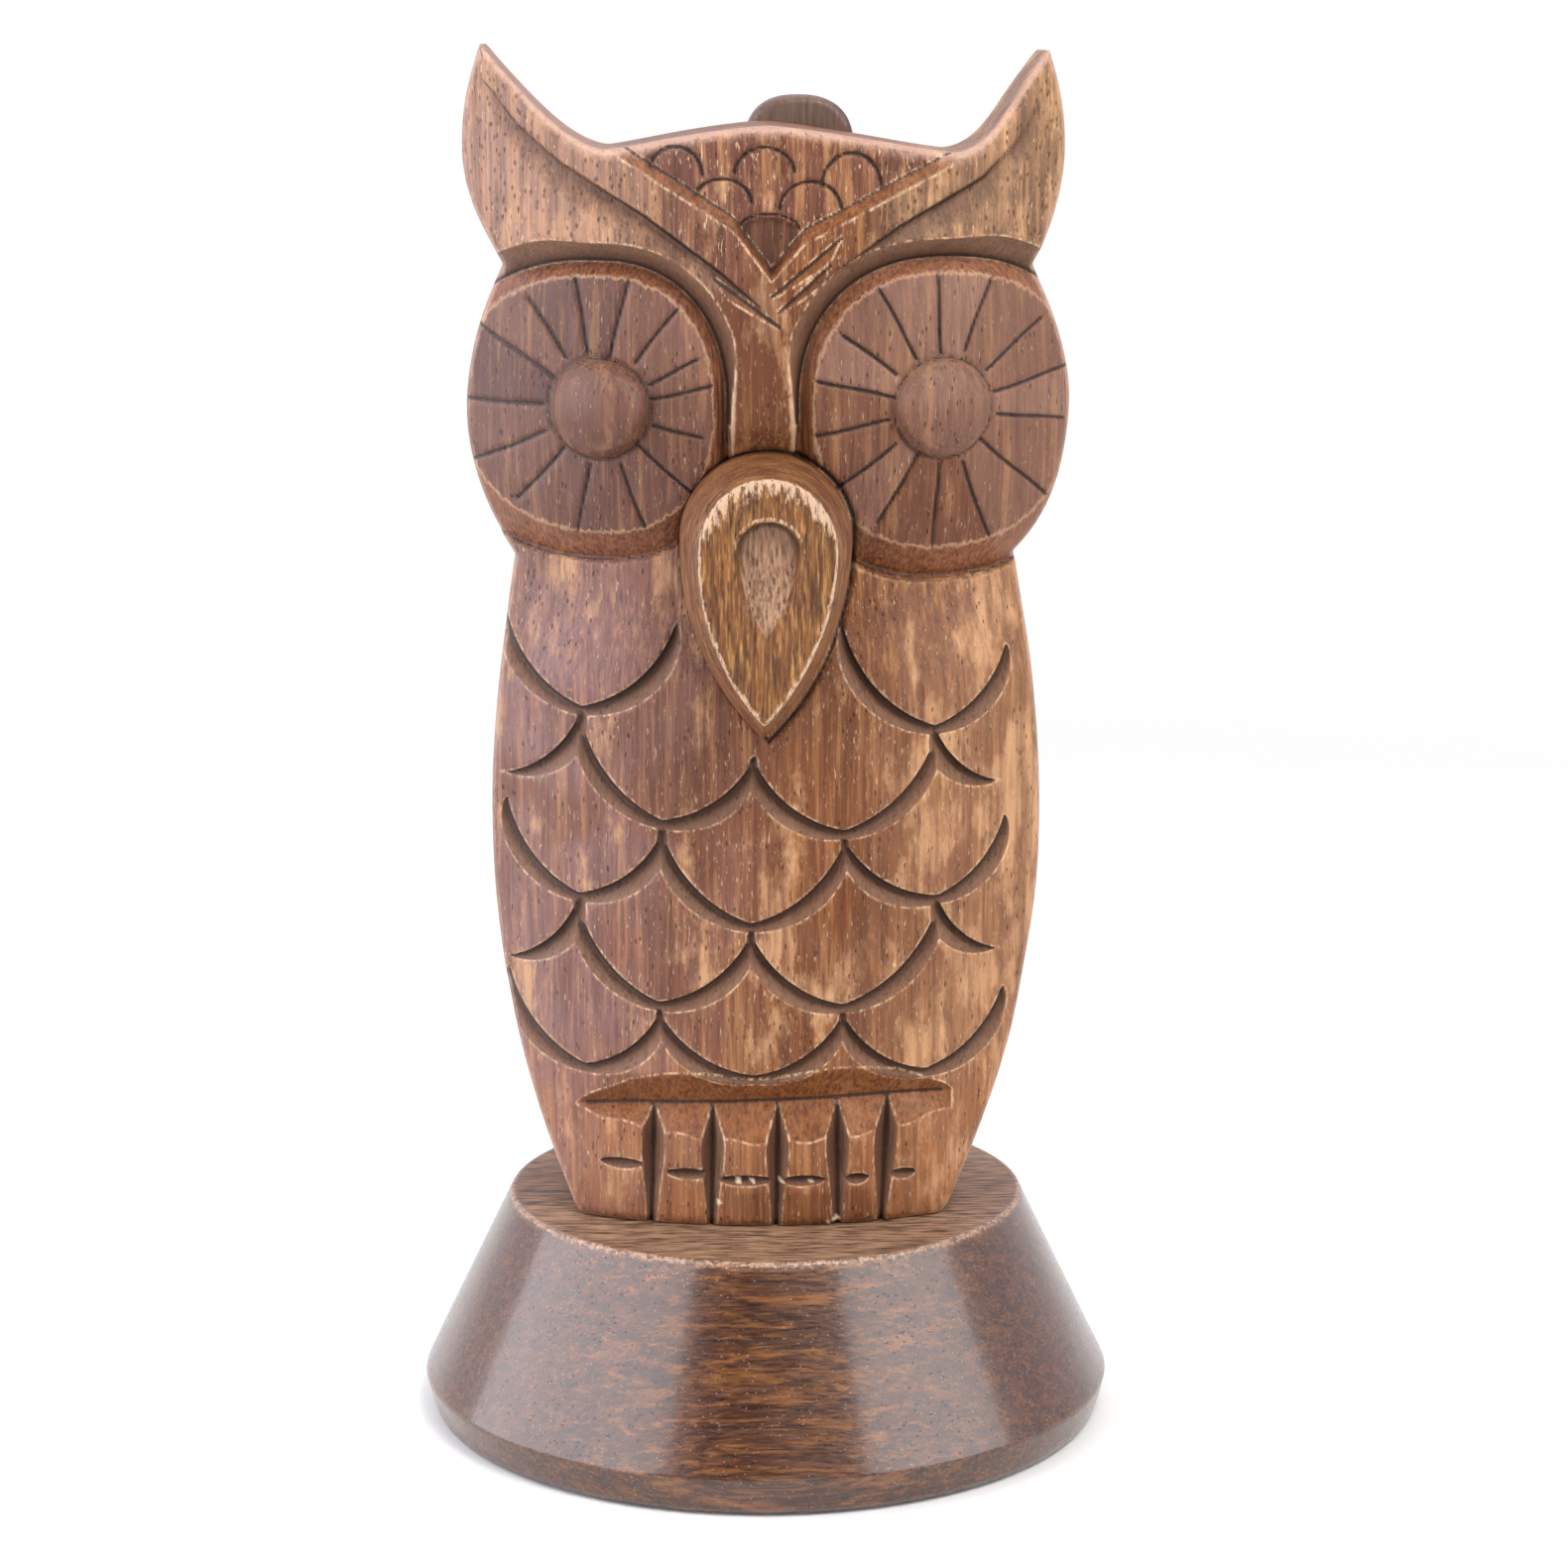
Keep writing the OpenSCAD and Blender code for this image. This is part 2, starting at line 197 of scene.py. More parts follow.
OUTLINE_STEP = 0.3
SAW_WOBBLE = (0.22, 0.15)


def outline():
    """The whole outline, with a little of the unevenness of a saw held by hand."""
    right = half_outline(1)
    left = half_outline(-1)[::-1] * (-1, 1)
    line = resampled(np.vstack([right, left[:-1]]), OUTLINE_STEP)
    wobble = lattice_noise(3)
    line[:, 0] += SAW_WOBBLE[0] * wobble(line[:, 0] / 9 + 20, line[:, 1] / 11)
    above_foot = smooth((line[:, 1] - FOOT_Z) / 3)
    line[:, 1] += SAW_WOBBLE[1] * wobble(line[:, 0] / 10 + 40, line[:, 1] / 9 + 9) * above_foot
    return line


# points handled at a time, so that the arrays stay small
CHUNK = 4000


def signed_distance(x, z, line):
    """Distance to the closed line, negative inside, and the direction that points outwards."""
    a, b = line, np.roll(line, -1, 0)
    edge = b - a
    squared = (edge**2).sum(1)
    flat_x, flat_z = x.ravel(), z.ravel()
    distance = np.empty(flat_x.size)
    toward = np.empty((flat_x.size, 2))
    inside = np.empty(flat_x.size, bool)
    for first in range(0, flat_x.size, CHUNK):
        part = slice(first, first + CHUNK)
        px, pz = flat_x[part, None], flat_z[part, None]
        rx, rz = px - a[:, 0], pz - a[:, 1]
        t = np.clip((rx * edge[:, 0] + rz * edge[:, 1]) / squared, 0, 1)
        dx, dz = rx - t * edge[:, 0], rz - t * edge[:, 1]
        d2 = dx * dx + dz * dz
        near = d2.argmin(1)
        row = np.arange(len(near))
        distance[part] = np.sqrt(d2[row, near])
        toward[part, 0], toward[part, 1] = -dx[row, near], -dz[row, near]
        crosses = (a[:, 1] > pz) != (b[:, 1] > pz)
        cut_x = a[:, 0] + (pz - a[:, 1]) / np.where(edge[:, 1] == 0, 1e-12, edge[:, 1]) * edge[:, 0]
        inside[part] = (crosses & (px < cut_x)).sum(1) % 2 == 1
    signed = np.where(inside, -distance, distance)
    return signed.reshape(x.shape), toward.reshape(x.shape + (2,))


# ---------------------------------------------------------------- the carving
# The _shape functions return how deep the wood is cut at x and z. The cut_ functions add
# their cuts to a Carving.

WALL_W = 0.5


class Carving:
    """Everything the gouge has done at x and z, gathered cut by cut.
    depth: how far the wood is cut back. inside: how far inside a cut, in mm, negative outside.
    wall: how far from the steep wall of that cut. line: distance to the nearest incised line.
    facet: how far inside a plain flat cut. soft: 1 in a shallow smooth hollow."""

    def __init__(self, shape):
        self.depth = np.zeros(shape)
        self.inside = np.full(shape, -3.0)
        self.wall = np.full(shape, 3.0)
        self.line = np.full(shape, 2.0)
        self.facet = np.full(shape, -3.0)
        self.soft = np.zeros(shape)

    def gouge(self, here, out, width, deep, past):
        """A cut that drops down a wall at out = 0 and eases back up to the surface at width.
        past is how far a point lies past the ends of the cut. here picks the points near it."""
        width = np.maximum(width, 1e-3)
        wall_w = np.minimum(WALL_W, 0.4 * width)
        down = smooth(out / wall_w)
        back = np.clip((width - out) / (width - wall_w), 0, 1)
        depth = deep * np.where(out < wall_w, down, back) * (out > 0)
        inside = np.minimum(out, width - out) - past
        self.depth[here] = np.maximum(self.depth[here], depth)
        nearer = inside > self.inside[here]
        self.wall[here] = np.where(nearer, out, self.wall[here])
        self.inside[here] = np.where(nearer, inside, self.inside[here])

    def incise(self, distance, ends, half_w, deep):
        """A V line; ends is 1 along the line and falls to 0 past its ends."""
        v = np.clip(1 - distance / half_w, 0, 1) * ends
        self.depth = np.maximum(self.depth, deep * v)
        self.line = np.minimum(self.line, distance + 0.5 * (1 - ends))


# Tips of the feathers, row by row from the top: x of each tip, then its height over the foot
FEATHER_ROWS = (
    ((-20.5, 58.6), (18.4, 56.4)),
    ((-11.7, 46.4), (8.3, 45.3)),
    ((-21.0, 37.5), (-2.0, 35.0), (18.8, 37.2)),
    ((-12.2, 25.8), (8.2, 25.6)),
    ((-20.5, 18.0), (-1.7, 17.7), (17.6, 17.5)),
)
LEFT_EDGE_X = -29.0
RIGHT_EDGE_X = 26.5
UNDER_BEAK = (-1.7, 54.6)


def feather_arms():
    """Start, tip, side and whether the tip is open for every arm. An arm starts at the tip of
    the feather above it."""
    arms = []
    above = [(-10.2, 69.0), (8.3, 68.7)]
    for number, row in enumerate(FEATHER_ROWS):
        for tip_x, tip_z in row:
            for side in (-1, 1):
                near = [p for p in above if 4 < side * (p[0] - tip_x) < 14]
                if near:
                    start = (near[0][0] + 0.15 * side, near[0][1] - 0.8)
                elif side < 0:
                    start = (LEFT_EDGE_X, tip_z + 10.0)
                else:
                    start = (RIGHT_EDGE_X, tip_z + 8.3)
                arms.append((start, (tip_x, tip_z), side, True))
        if number % 2 == 1:
            first, last = above[0], above[-1]
            arms.append((first, (LEFT_EDGE_X - 0.2, first[1] - 8.4), 1, False))
            arms.append((last, (RIGHT_EDGE_X - 0.6, last[1] - 7.0), -1, False))
        above = list(row)
        if number == 0:
            above.insert(1, UNDER_BEAK)
    return arms


# how wide and deep the crescents are, and how far they bulge for their length
FEATHER_W = 2.2
FEATHER_DEEP = 1.25
FEATHER_BULGE = 0.125
# an arm that meets another stops at this share of its half wave, before it has narrowed away
OPEN_TIP = 0.86


def cut_feathers(work, x, z):
    """Every arm is a crescent. Two arms meet below the tip of their feather."""
    for start, tip, side, meets in feather_arms():
        a = (start[0], start[1] + FOOT_Z)
        b = (tip[0], tip[1] + FOOT_Z)
        here = (x > min(a[0], b[0]) - 4) & (x < max(a[0], b[0]) + 4)
        here &= (z > min(a[1], b[1]) - 4) & (z < max(a[1], b[1]) + 4)
        # the left arm of a feather runs down to the right and swells down to the left
        length = math.dist(a, b)
        along, out = arc_coordinates(x[here], z[here], a, b, FEATHER_BULGE * length * side)
        t = np.clip(along, 0, 1)
        swell = np.clip(np.sin((OPEN_TIP if meets else 1.0) * np.pi * t**0.8), 0, 1)
        width = FEATHER_W * swell**0.8
        if meets:
            # stop at the middle of the feather
            width = np.minimum(width, out + 6 * side * (x[here] - b[0]) + 0.3)
        width = np.where(along < 0, width + 4 * along, width)
        past = length * np.maximum(np.clip(-along, 0, 1), np.clip(along - 1.06, 0, 1))
        work.gouge(here, out, width, FEATHER_DEEP * swell**0.5, past)


FEATHER_PROUD = 0.22


def belly_shape(x, z):
    """Each feather lies a little proud at its tip, like a shingle."""
    depth = np.zeros_like(x)
    for row in FEATHER_ROWS:
        for tip_x, tip_z in row:
            up = z - (tip_z + FOOT_Z)
            near = np.exp(-(((x - tip_x) / 6.5) ** 2) - ((up - 2.5) / 3.5) ** 2)
            depth -= FEATHER_PROUD * near * (up > -1)
    return depth


# x of each cut between the toes, at the foot and at the top
TOE_GROOVES = ((-13.2, -12.8), (-6.45, -6.25), (0.76, 1.0), (7.67, 7.64), (12.6, 13.35))
TOE_DEEP = 2.1
# middle and half width of the hollow above the toes
TOES_X = -0.4
TOES_HALF_W = 21.0
# middle, height over the foot and half width of the nick across each toe
TOE_NOTCHES = ((-16.5, 6.9, 2.5), (-9.0, 6.2, 2.6), (-2.7, 5.6, 3.3), (3.8, 5.5, 2.6),
               (9.8, 5.5, 1.4), (15.1, 5.6, 1.5))
GLUE_BEADS = ((-3.4, 5.5, 0.4), (-1.9, 5.4, 0.25), (1.3, 5.3, 0.25), (4.6, 5.3, 0.22),
              (7.5, 0.7, 0.4), (6.6, 0.4, 0.3), (-5.6, 2.9, 0.3))


def cut_toes(work, x, up):
    """The foot slants in to a line above the toes, and the toes slope out again to a ridge.
    Between the toes are V cuts, and a lens-shaped nick lies across each toe."""
    middle = np.abs(x - TOES_X)
    line = 14.3 + 0.03 * x - 0.001 * x**2
    ridge = 10.0 + 0.0062 * x**2 + 0.25 * np.sin(1.1 * x)
    ends = np.clip((TOES_HALF_W - middle) / 6, 0, 1)
    shelf_h = (3.2 + 0.5 * np.cos((x - 8.1) * 0.35)) * ends**0.6 + 0.01
    slope = np.where(up >= line, 1 - (up - line) / shelf_h, 1 - (line - up) / (line - ridge))
    surface = TOE_DEEP * ends**0.5 * np.clip(slope, 0, 1)
    groove = np.full_like(x, -1.0)
    wall = np.full_like(x, 3.0)
    share = np.clip(up / line, 0, 1)
    below = smooth((line - up) / 0.2)
    for low_x, top_x in TOE_GROOVES:
        aside = x - low_x - (top_x - low_x) * share
        off = np.abs(aside)
        half_w = 0.6 + 0.7 * smooth((up - 1) / 8)
        deep = 0.9 + (TOE_DEEP - 0.9) * smooth((up - 1) / 9)
        groove = np.maximum(groove, deep * (1 - off / half_w) * below - (1 - below))
        # the left wall of each cut is in shade, the right wall is lit
        wall = np.where(off < half_w + 0.5, np.clip(1.2 + aside, 0.55, 3), wall)
        work.line = np.minimum(work.line, 0.7 * off + 0.03 + (1 - below))
    work.depth = np.maximum(work.depth, np.maximum(surface, groove))
    cut = np.clip((groove - surface) * 0.8, -1, 1)
    work.wall = np.where(cut > work.inside, wall, work.wall)
    work.inside = np.maximum(work.inside, cut)
    work.facet = np.minimum(np.minimum(up - ridge, line + shelf_h - up), TOES_HALF_W - middle)
    work.facet = np.minimum(work.facet, -cut * 1.2)
    work.line = np.minimum(work.line, np.abs(up - line) + np.clip(middle - TOES_HALF_W + 1, 0, 1))
    for notch_x, notch_up, half in TOE_NOTCHES:
        along = np.clip(1 - ((x - notch_x) / half) ** 2, 0, 1)
        here = (np.abs(x - notch_x) < half + 0.5) & (np.abs(up - notch_up) < 2)
        high = 1.3 * along[here] ** 0.7
        past = np.clip(np.abs(x[here] - notch_x) - half, 0, 1)
        work.gouge(here, notch_up + 0.4 * high - up[here], high, 0.9 * along[here] ** 0.5, past)


def glue_beads(x, up):
    """Small drops of glue that stayed in the nicks."""
    bead = np.zeros_like(x)
    for bead_x, bead_up, radius in GLUE_BEADS:
        r = np.hypot(x - bead_x, up - bead_up)
        bead = np.maximum(bead, np.sqrt(np.clip(1 - (r / radius) ** 2, 0, 1)))
    return bead


RAYS = {-1: (12, 27, 52, 77, 100, 123, 147, 179, 205, 229, 260, 291, 318, 345),
        1: (14, 39, 69, 93, 119, 144, 167, 191, 216, 240, 266, 290, 319, 351)}
EYE_X = {-1: -18.3, 1: 19.1}
# how far each disc's face reaches from its pupil: to the nose, to the outside, up and down
FACE_REACH = {-1: (12.4, 15.6, 14.2, 13.5), 1: (14.2, 15.6, 14.5, 15.3)}
PUPIL_R = 5.4
PUPIL_RISE = {-1: 2.9, 1: 2.2}
FACE_R = 13.5
SPOKE_HALF_W = 0.34
SPOKE_DEEP = 0.5
# width and depth of the bevel at the top, and how much more it has at the bottom, where it
# drops to the throat
BEVEL_W = (1.5, 1.6)
BEVEL_DEEP = (1.5, 0.6)


def oval_radius(dx, dz, half_w, half_h, power):
    """1 on the oval, less inside it and more outside."""
    return ((np.abs(dx) / half_w) ** power + (np.abs(dz) / half_h) ** power) ** (1 / power)


SECTOR_TONES = {side: rng.uniform(0, 1, len(RAYS[side])) for side in (-1, 1)}


def eye(x, z, side):
    """An eye disc: its depth, the depth at the foot of its bevel, how far x and z lie outside
    its face and outside the bevel, its incised lines, and the tone of each sector."""
    dx, dz = x - EYE_X[side], z - EYE_Z
    to_nose, to_side, up, down = FACE_REACH[side]
    half_w = np.where(dx * side < 0, to_nose, to_side)
    half_h = np.where(dz > 0, up, down)
    r = np.hypot(dx, dz)
    face = (oval_radius(dx, dz, half_w, half_h, 2.3) - 1) * FACE_R
    bottom = smooth((-dz - 1) / 10)
    bevel_w = BEVEL_W[0] + BEVEL_W[1] * bottom
    bevel_d = BEVEL_DEEP[0] + BEVEL_DEEP[1] * bottom
    level = 0.5 + 0.6 * (r / 14) ** 3
    depth = level + bevel_d * np.clip(face / bevel_w, 0, 1)
    work = Carving(x.shape)
    sector = np.full_like(x, SECTOR_TONES[side][-1])
    turn = np.degrees(np.arctan2(dz, dx)) % 360
    for number, angle in enumerate(RAYS[side]):
        a = math.radians(angle)
        along = dx * math.cos(a) + dz * math.sin(a)
        off = np.abs(-dx * math.sin(a) + dz * math.cos(a) - 0.08 * np.sin(along * 0.6 + number))
        first = PUPIL_R + 0.3 * (number % 3)
        last = 0.6 - 1.0 * (number % 4 == 1)
        ends = smooth((along - first) / 0.4) * smooth((last - face) / 0.8)
        work.incise(off, ends, SPOKE_HALF_W, SPOKE_DEEP)
        sector = np.where(turn > angle, SECTOR_TONES[side][number], sector)
    # the pupil is painted paler towards its top and darker towards its foot: painted light and shade on
    # the dome
    sector = np.where(r < PUPIL_R, 0.6 + 0.3 * smooth((dz + 1) / 3), sector)
    ring = np.clip(1 - np.abs(r - PUPIL_R - 0.1) / 0.4, 0, 1)
    work.line = np.minimum(work.line, np.abs(r - PUPIL_R - 0.05) + 0.1)
    dome = np.sqrt(np.clip(1 - (r / PUPIL_R) ** 2, 0, 1))
    step = 0.2 * smooth((PUPIL_R - 0.75 - r) / 0.3)
    depth = depth + work.depth + 0.25 * ring - PUPIL_RISE[side] * dome - step
    return depth, level + bevel_d, face, face - bevel_w, work.line, sector


# The lines below are drawn as x and height over the foot.
# edge between the brow bands and the sunken forehead
FOREHEAD_EDGE = ((-19.6, 150), (-18.6, 120.0), (-13.3, 116.6), (-8.0, 113.3), (-3.8, 110.6),
                 (0.3, 105.2), (3.8, 109.2), (8.1, 111.4), (13.9, 114.4), (20.0, 117.4), (21.0, 150))
CHAMFER_W = 1.15
FOREHEAD_DEEP = 1.1
POCKET_DEEP = 0.6
BROW_GROOVES = {
    -1: ((-30.9, 126.6), (-26.9, 121.5), (-22.3, 117.6), (-13.2, 112.0), (-5.7, 106.5), (0.4, 101.4)),
    1: ((0.6, 101.8), (7.8, 106.6), (14.2, 110.9), (23.3, 115.9), (26.9, 119.5), (30.5, 125.0)),
}
# middle, top, half width and height of each arch
SCALE_ARCHES = ((-9.9, 119.4, 2.9, 3.2), (-0.4, 119.3, 3.2, 2.8), (8.9, 118.7, 3.2, 3.6),
                (-4.9, 116.0, 3.1, 2.6), (4.5, 115.7, 3.3, 3.0), (0.0, 112.3, 3.3, 1.7))
ARCH_HALF_W = 0.36
ARCH_DEEP = 0.55


def head_shape(x, up):
    """The forehead sunk between the brow bands, with a darker pocket at its point."""
    edge_z = np.interp(x, *np.array(FOREHEAD_EDGE).T)
    above = (up - edge_z) * 0.82
    sunk = np.clip(above / CHAMFER_W, 0, 1)
    # the pocket starts under the lowest arch
    arch = 110.4 + 1.7 * np.sqrt(np.clip(1 - (x / 3.3) ** 2, 0, 1))
    pocket = smooth((arch - up) / 0.5) * smooth(above / 0.9) * smooth((3.7 - np.abs(x)) / 0.6)
    return FOREHEAD_DEEP * sunk + POCKET_DEEP * pocket, above, pocket


BROW_W = 3.0
BROW_DEEP = 1.3


def cut_brow(work, x, up, side):
    """A soft hollow that starts at the edge of the brow band and fades towards the lid."""
    line = BROW_GROOVES[side]
    off, share = line_distance(x, up, line)
    over = up > np.interp(x, *np.array(line).T)
    out = np.where(over, -off, off)
    taper = np.sin(np.pi * np.clip(share, 0, 1)) ** 0.6
    hollow = smooth((out + 0.3) / 0.55) * np.clip(1 - out / (0.02 + BROW_W * taper), 0, 1)
    work.depth = np.maximum(work.depth, BROW_DEEP * taper * hollow)
    work.soft = np.maximum(work.soft, hollow**0.5 * np.clip(1.6 * taper, 0, 1))
    fade = 0.03 + 0.08 * np.sin(7.0 * share + side) + 0.2 * (1 - taper)
    work.line = np.minimum(work.line, np.abs(out) + np.clip(fade, 0, 1))


def cut_forehead(work, x, up, above, on_head):
    """Arches pressed with a round gouge: three, two and one down the forehead."""
    sunk = smooth(above / CHAMFER_W) * on_head
    for centre_x, top, half, high in SCALE_ARCHES:
        dx, dz = x - centre_x, up - (top - high)
        r = np.hypot(dx, dz * half / high)
        work.incise(np.abs(r - half), smooth((dz + 0.3) / 0.5) * sunk, ARCH_HALF_W, ARCH_DEEP)
    work.facet = np.maximum(work.facet, np.minimum(above, CHAMFER_W - above) - 3 * (1 - on_head))
    edge = np.abs(above - CHAMFER_W) + 0.06 + (1 - on_head)
    work.line = np.minimum(work.line, edge)


# from the wide end to the point of each wedge, and its width
NOSE_CUTS = (((7.6, 109.7), (0.1, 103.5), 1.3), ((6.5, 106.9), (0.8, 101.8), 1.1),
             ((-5.6, 105.4), (1.4, 100.3), -0.9))


def cut_nose(work, x, up):
    """Long wedge cuts where the brows meet, above the beak."""
    for a, b, width in NOSE_CUTS:
        (ax, az), (bx, bz) = a, b
        length = math.dist(a, b)
        ux, uz = (bx - ax) / length, (bz - az) / length
        share = ((x - ax) * ux + (up - az) * uz) / length
        out = ((x - ax) * -uz + (up - az) * ux) * math.copysign(1, width)
        here = (share > -0.05) & (share < 1) & (np.abs(out) < 3)
        wide = abs(width) * (1 - share[here]) ** 0.7 * smooth(share[here] / 0.35 + 0.1) + 0.15
        depth = 0.5 * wide * smooth(out[here] / 0.3) * np.clip(1 - out[here] / wide, 0, 1)
        work.depth[here] = np.maximum(work.depth[here], depth)
        flat = np.minimum(out[here], wide - out[here])
        work.facet[here] = np.maximum(work.facet[here], flat)
        work.line[here] = np.minimum(work.line[here], np.abs(out[here] - 0.1))


# the dark seam ends this far above the beak's point
SEAM_SHORT = 1.2


def beak_radius(x, z):
    """Distance outside the seam round the beak, negative inside: a round top on two long arcs."""
    reach = BEAK_AXIS_Z - BEAK_TIP_Z - SEAM_SHORT
    side_r = (BEAK_HALF_W**2 + reach**2) / (2 * BEAK_HALF_W)
    low = np.hypot(np.abs(x) - BEAK_HALF_W + side_r, z - BEAK_AXIS_Z) - side_r
    top = np.hypot(x, z - BEAK_AXIS_Z) - BEAK_HALF_W
    return np.where(z > BEAK_AXIS_Z, top, low)


def set_discs(work, x, z, shape):
    """The eye discs, with a cove round each that is widest under the lid. Returns the depth,
    where the discs are, how far x and z lie outside their faces, and their sectors' tones."""
    disc_mask = np.zeros_like(x)
    face = np.full_like(x, 3.0)
    sectors = np.full_like(x, 0.5)
    for side in (-1, 1):
        disc, foot, out_of_face, outside, lines, sector = eye(x, z, side)
        dx, dz = x - EYE_X[side], z - EYE_Z
        over = smooth((dz + 5) / 12)
        cove_w = 0.45 + (1.5 + 0.7 * smooth(dx * side / 8)) * over * (0.35 + 0.65 * smooth(dz / 9))
        cove = np.clip(1 - outside / cove_w, 0, 1)
        on_disc = outside < 0
        shape = np.where(on_disc, disc, shape + (foot - shape) * cove**0.9)
        lid = np.minimum(np.minimum(outside, cove_w - outside), 6 * (over - 0.2))
        nearer = (lid > work.inside) | on_disc
        work.wall = np.where(nearer, np.clip(outside, 0, 3), work.wall)
        work.inside = np.where(nearer, lid, work.inside)
        work.line = np.where(on_disc, lines, np.minimum(work.line, np.abs(outside)))
        disc_mask = np.where(on_disc, 1.0, disc_mask)
        face = np.minimum(face, out_of_face)
        sectors = np.where(on_disc, sector, sectors)
    return shape, disc_mask, face, sectors


THROAT_DEEP = 2.7
SEAM_DEEP = 0.7
BEAD_HIGH = 0.35
# height over the foot where the head starts
HEAD_UP = 97.0


def carved(x, z):
    """Everything the gouge has done at x and z: how deep the wood is cut, and for the material
    where it is cut, where the discs and the ears are, and each disc's sectors."""
    up = z - FOOT_Z
    sunk_depth, above_edge, pocket = head_shape(x, up)
    on_head = smooth((up - HEAD_UP) / 4)
    forehead = smooth(above_edge / CHAMFER_W) * on_head
    # the throat lies lower under the discs and comes back up to the feathers
    throat = THROAT_DEEP * smooth((up - 60) / 13) * smooth((EYE_UP - 1.3 - up) / 7)
    shape = sunk_depth * on_head + throat + belly_shape(x, z)
    work = Carving(x.shape)
    cut_feathers(work, x, z)
    cut_toes(work, x, up)
    cut_forehead(work, x, up, above_edge, on_head)
    cut_nose(work, x, up)
    for side in (-1, 1):
        cut_brow(work, x, up, side)
    shape = shape + work.depth
    shape, disc_mask, face, sectors = set_discs(work, x, z, shape)
    # the beak's seat: a tight dark seam round its foot
    seam = np.abs(beak_radius(x, z) - 0.1)
    seat = np.clip(1 - seam / 0.3, 0, 1)
    bead = glue_beads(x, up)
    ear = on_head * (1 - forehead) * (1 - disc_mask) * smooth((np.abs(x) - 9) / 6)
    nose = smooth((7 - np.abs(x)) / 3) * smooth((up - 84) / 4) * smooth((108 - up) / 5)
    # the foot is orange too, above the toes and low on the middle ones
    shelf = smooth((21 - np.abs(x)) / 3) * smooth((up - 12) / 2) * smooth((17.8 - up) / 0.8)
    low_toes = smooth((4.4 - up) / 0.6) * smooth((9 - np.abs(x - 4)) / 3)
    nose = np.maximum(nose, np.maximum(0.8 * shelf, 0.8 * low_toes)) * (1 - disc_mask)
    return {"depth": shape + SEAM_DEEP * seat - BEAD_HIGH * bead, "inside": np.clip(work.inside, -1, 1),
            "wall": np.clip(work.wall, 0, 3), "line": np.clip(np.minimum(work.line, seam), 0, 1),
            "facet": np.clip(work.facet - 3 * disc_mask, -1, 1), "soft": work.soft * (1 - disc_mask),
            "disc": disc_mask, "face": np.clip(face, -2, 3), "ear": ear, "sector": sectors,
            "forehead": forehead, "pocket": pocket * on_head, "nose": nose,
            "bead": smooth(bead / 0.4)}


EDGE_ROUND = 1.3


def front_surface(x, z, depth, edge):
    """y of the carved front. edge is the distance in from the outline."""
    block = FRONT_Y + FRONT_R - np.sqrt(FRONT_R**2 - np.clip(x, -40, 40) ** 2)
    hand = lattice_noise(11)
    depth = depth + 0.10 * hand(x / 5 + 8, z / 7) + 0.045 * hand(x / 1.6 + 3, z / 2.6 + 5)
    into = np.clip(1 - edge / EDGE_ROUND, 0, 1)
    corner = 0.85 * EDGE_ROUND * (1 - np.sqrt(1 - into**2))
    return block + depth + corner


# ---------------------------------------------------------------- mesh helpers

def new_mesh(name, verts, faces):
    """A smooth mesh object from millimetres."""
    mesh = bpy.data.meshes.new(name)
    mesh.from_pydata((np.asarray(verts) * MM).tolist(), [], faces)
    mesh.validate()
    mesh.polygons.foreach_set("use_smooth", [True] * len(mesh.polygons))
    mesh.update()
    piece = bpy.data.objects.new(name, mesh)
    bpy.context.scene.collection.objects.link(piece)
    return piece


def point_values(piece, name, values):
    """A number at every vertex, for the material to read."""
    attribute = piece.data.attributes.new(name, "FLOAT", "POINT")
    attribute.data.foreach_set("value", np.asarray(values, np.float32))


def finish_piece(piece, material, node):
    """The piece stands for a CAD node: it takes the material, the CAD node is hidden, and the piece
    hangs from the root body.
    """
    piece.data.materials.append(material)
    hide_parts(node)
    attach(piece, "root")


def blurred(values, passes):
    """Box blur of a 2-D array."""
    for _ in range(passes):
        padded = np.pad(values, 1, mode="edge")
        values = (padded[:-2, 1:-1] + padded[2:, 1:-1] + padded[1:-1, :-2] + padded[1:-1, 2:]
                  + 4 * values) / 8
    return values


GRID_HALF_W = 34.5
GRID_X = 0.3
GRID_Z = 0.34
GRID_FINE_Z = 0.26
# the grid ends this far in from the outline
GRID_INSET = 0.5


def grid_lines():
    """x and z of the carving grid: finer over the toes and the face, where the cuts are finest."""
    x = np.arange(-GRID_HALF_W, GRID_HALF_W, GRID_X)
    heights = []
    z = FOOT_Z - 1.0
    while z < EAR_TIP_Z + 1:
        heights.append(z)
        up = z - FOOT_Z
        z += GRID_FINE_Z if up < 17 or 74 < up < 118 else GRID_Z
    return x, np.array(heights)


def kept_cells(inside):
    """Cells with all four corners inside, thinned until no two meet only at a corner."""
    keep = inside[:-1, :-1] & inside[1:, :-1] & inside[:-1, 1:] & inside[1:, 1:]
    for _ in range(12):
        before = keep.sum()
        p = np.pad(keep, 1)
        block = p[:-1, :-1] & p[1:, :-1] & p[:-1, 1:] & p[1:, 1:]
        keep = block[:-1, :-1] | block[1:, :-1] | block[:-1, 1:] | block[1:, 1:]
        p = np.pad(keep, 1)
        a, b, c, d = p[:-1, :-1], p[1:, :-1], p[:-1, 1:], p[1:, 1:]
        pinch = (a & d & ~b & ~c) | (b & c & ~a & ~d)
        i, j = np.nonzero(pinch)
        for ii, jj in zip(i, j):
            keep[max(ii - 1, 0):ii + 1, max(jj - 1, 0):jj + 1] = False
        if keep.sum() == before and not pinch.any():
            break
    return keep


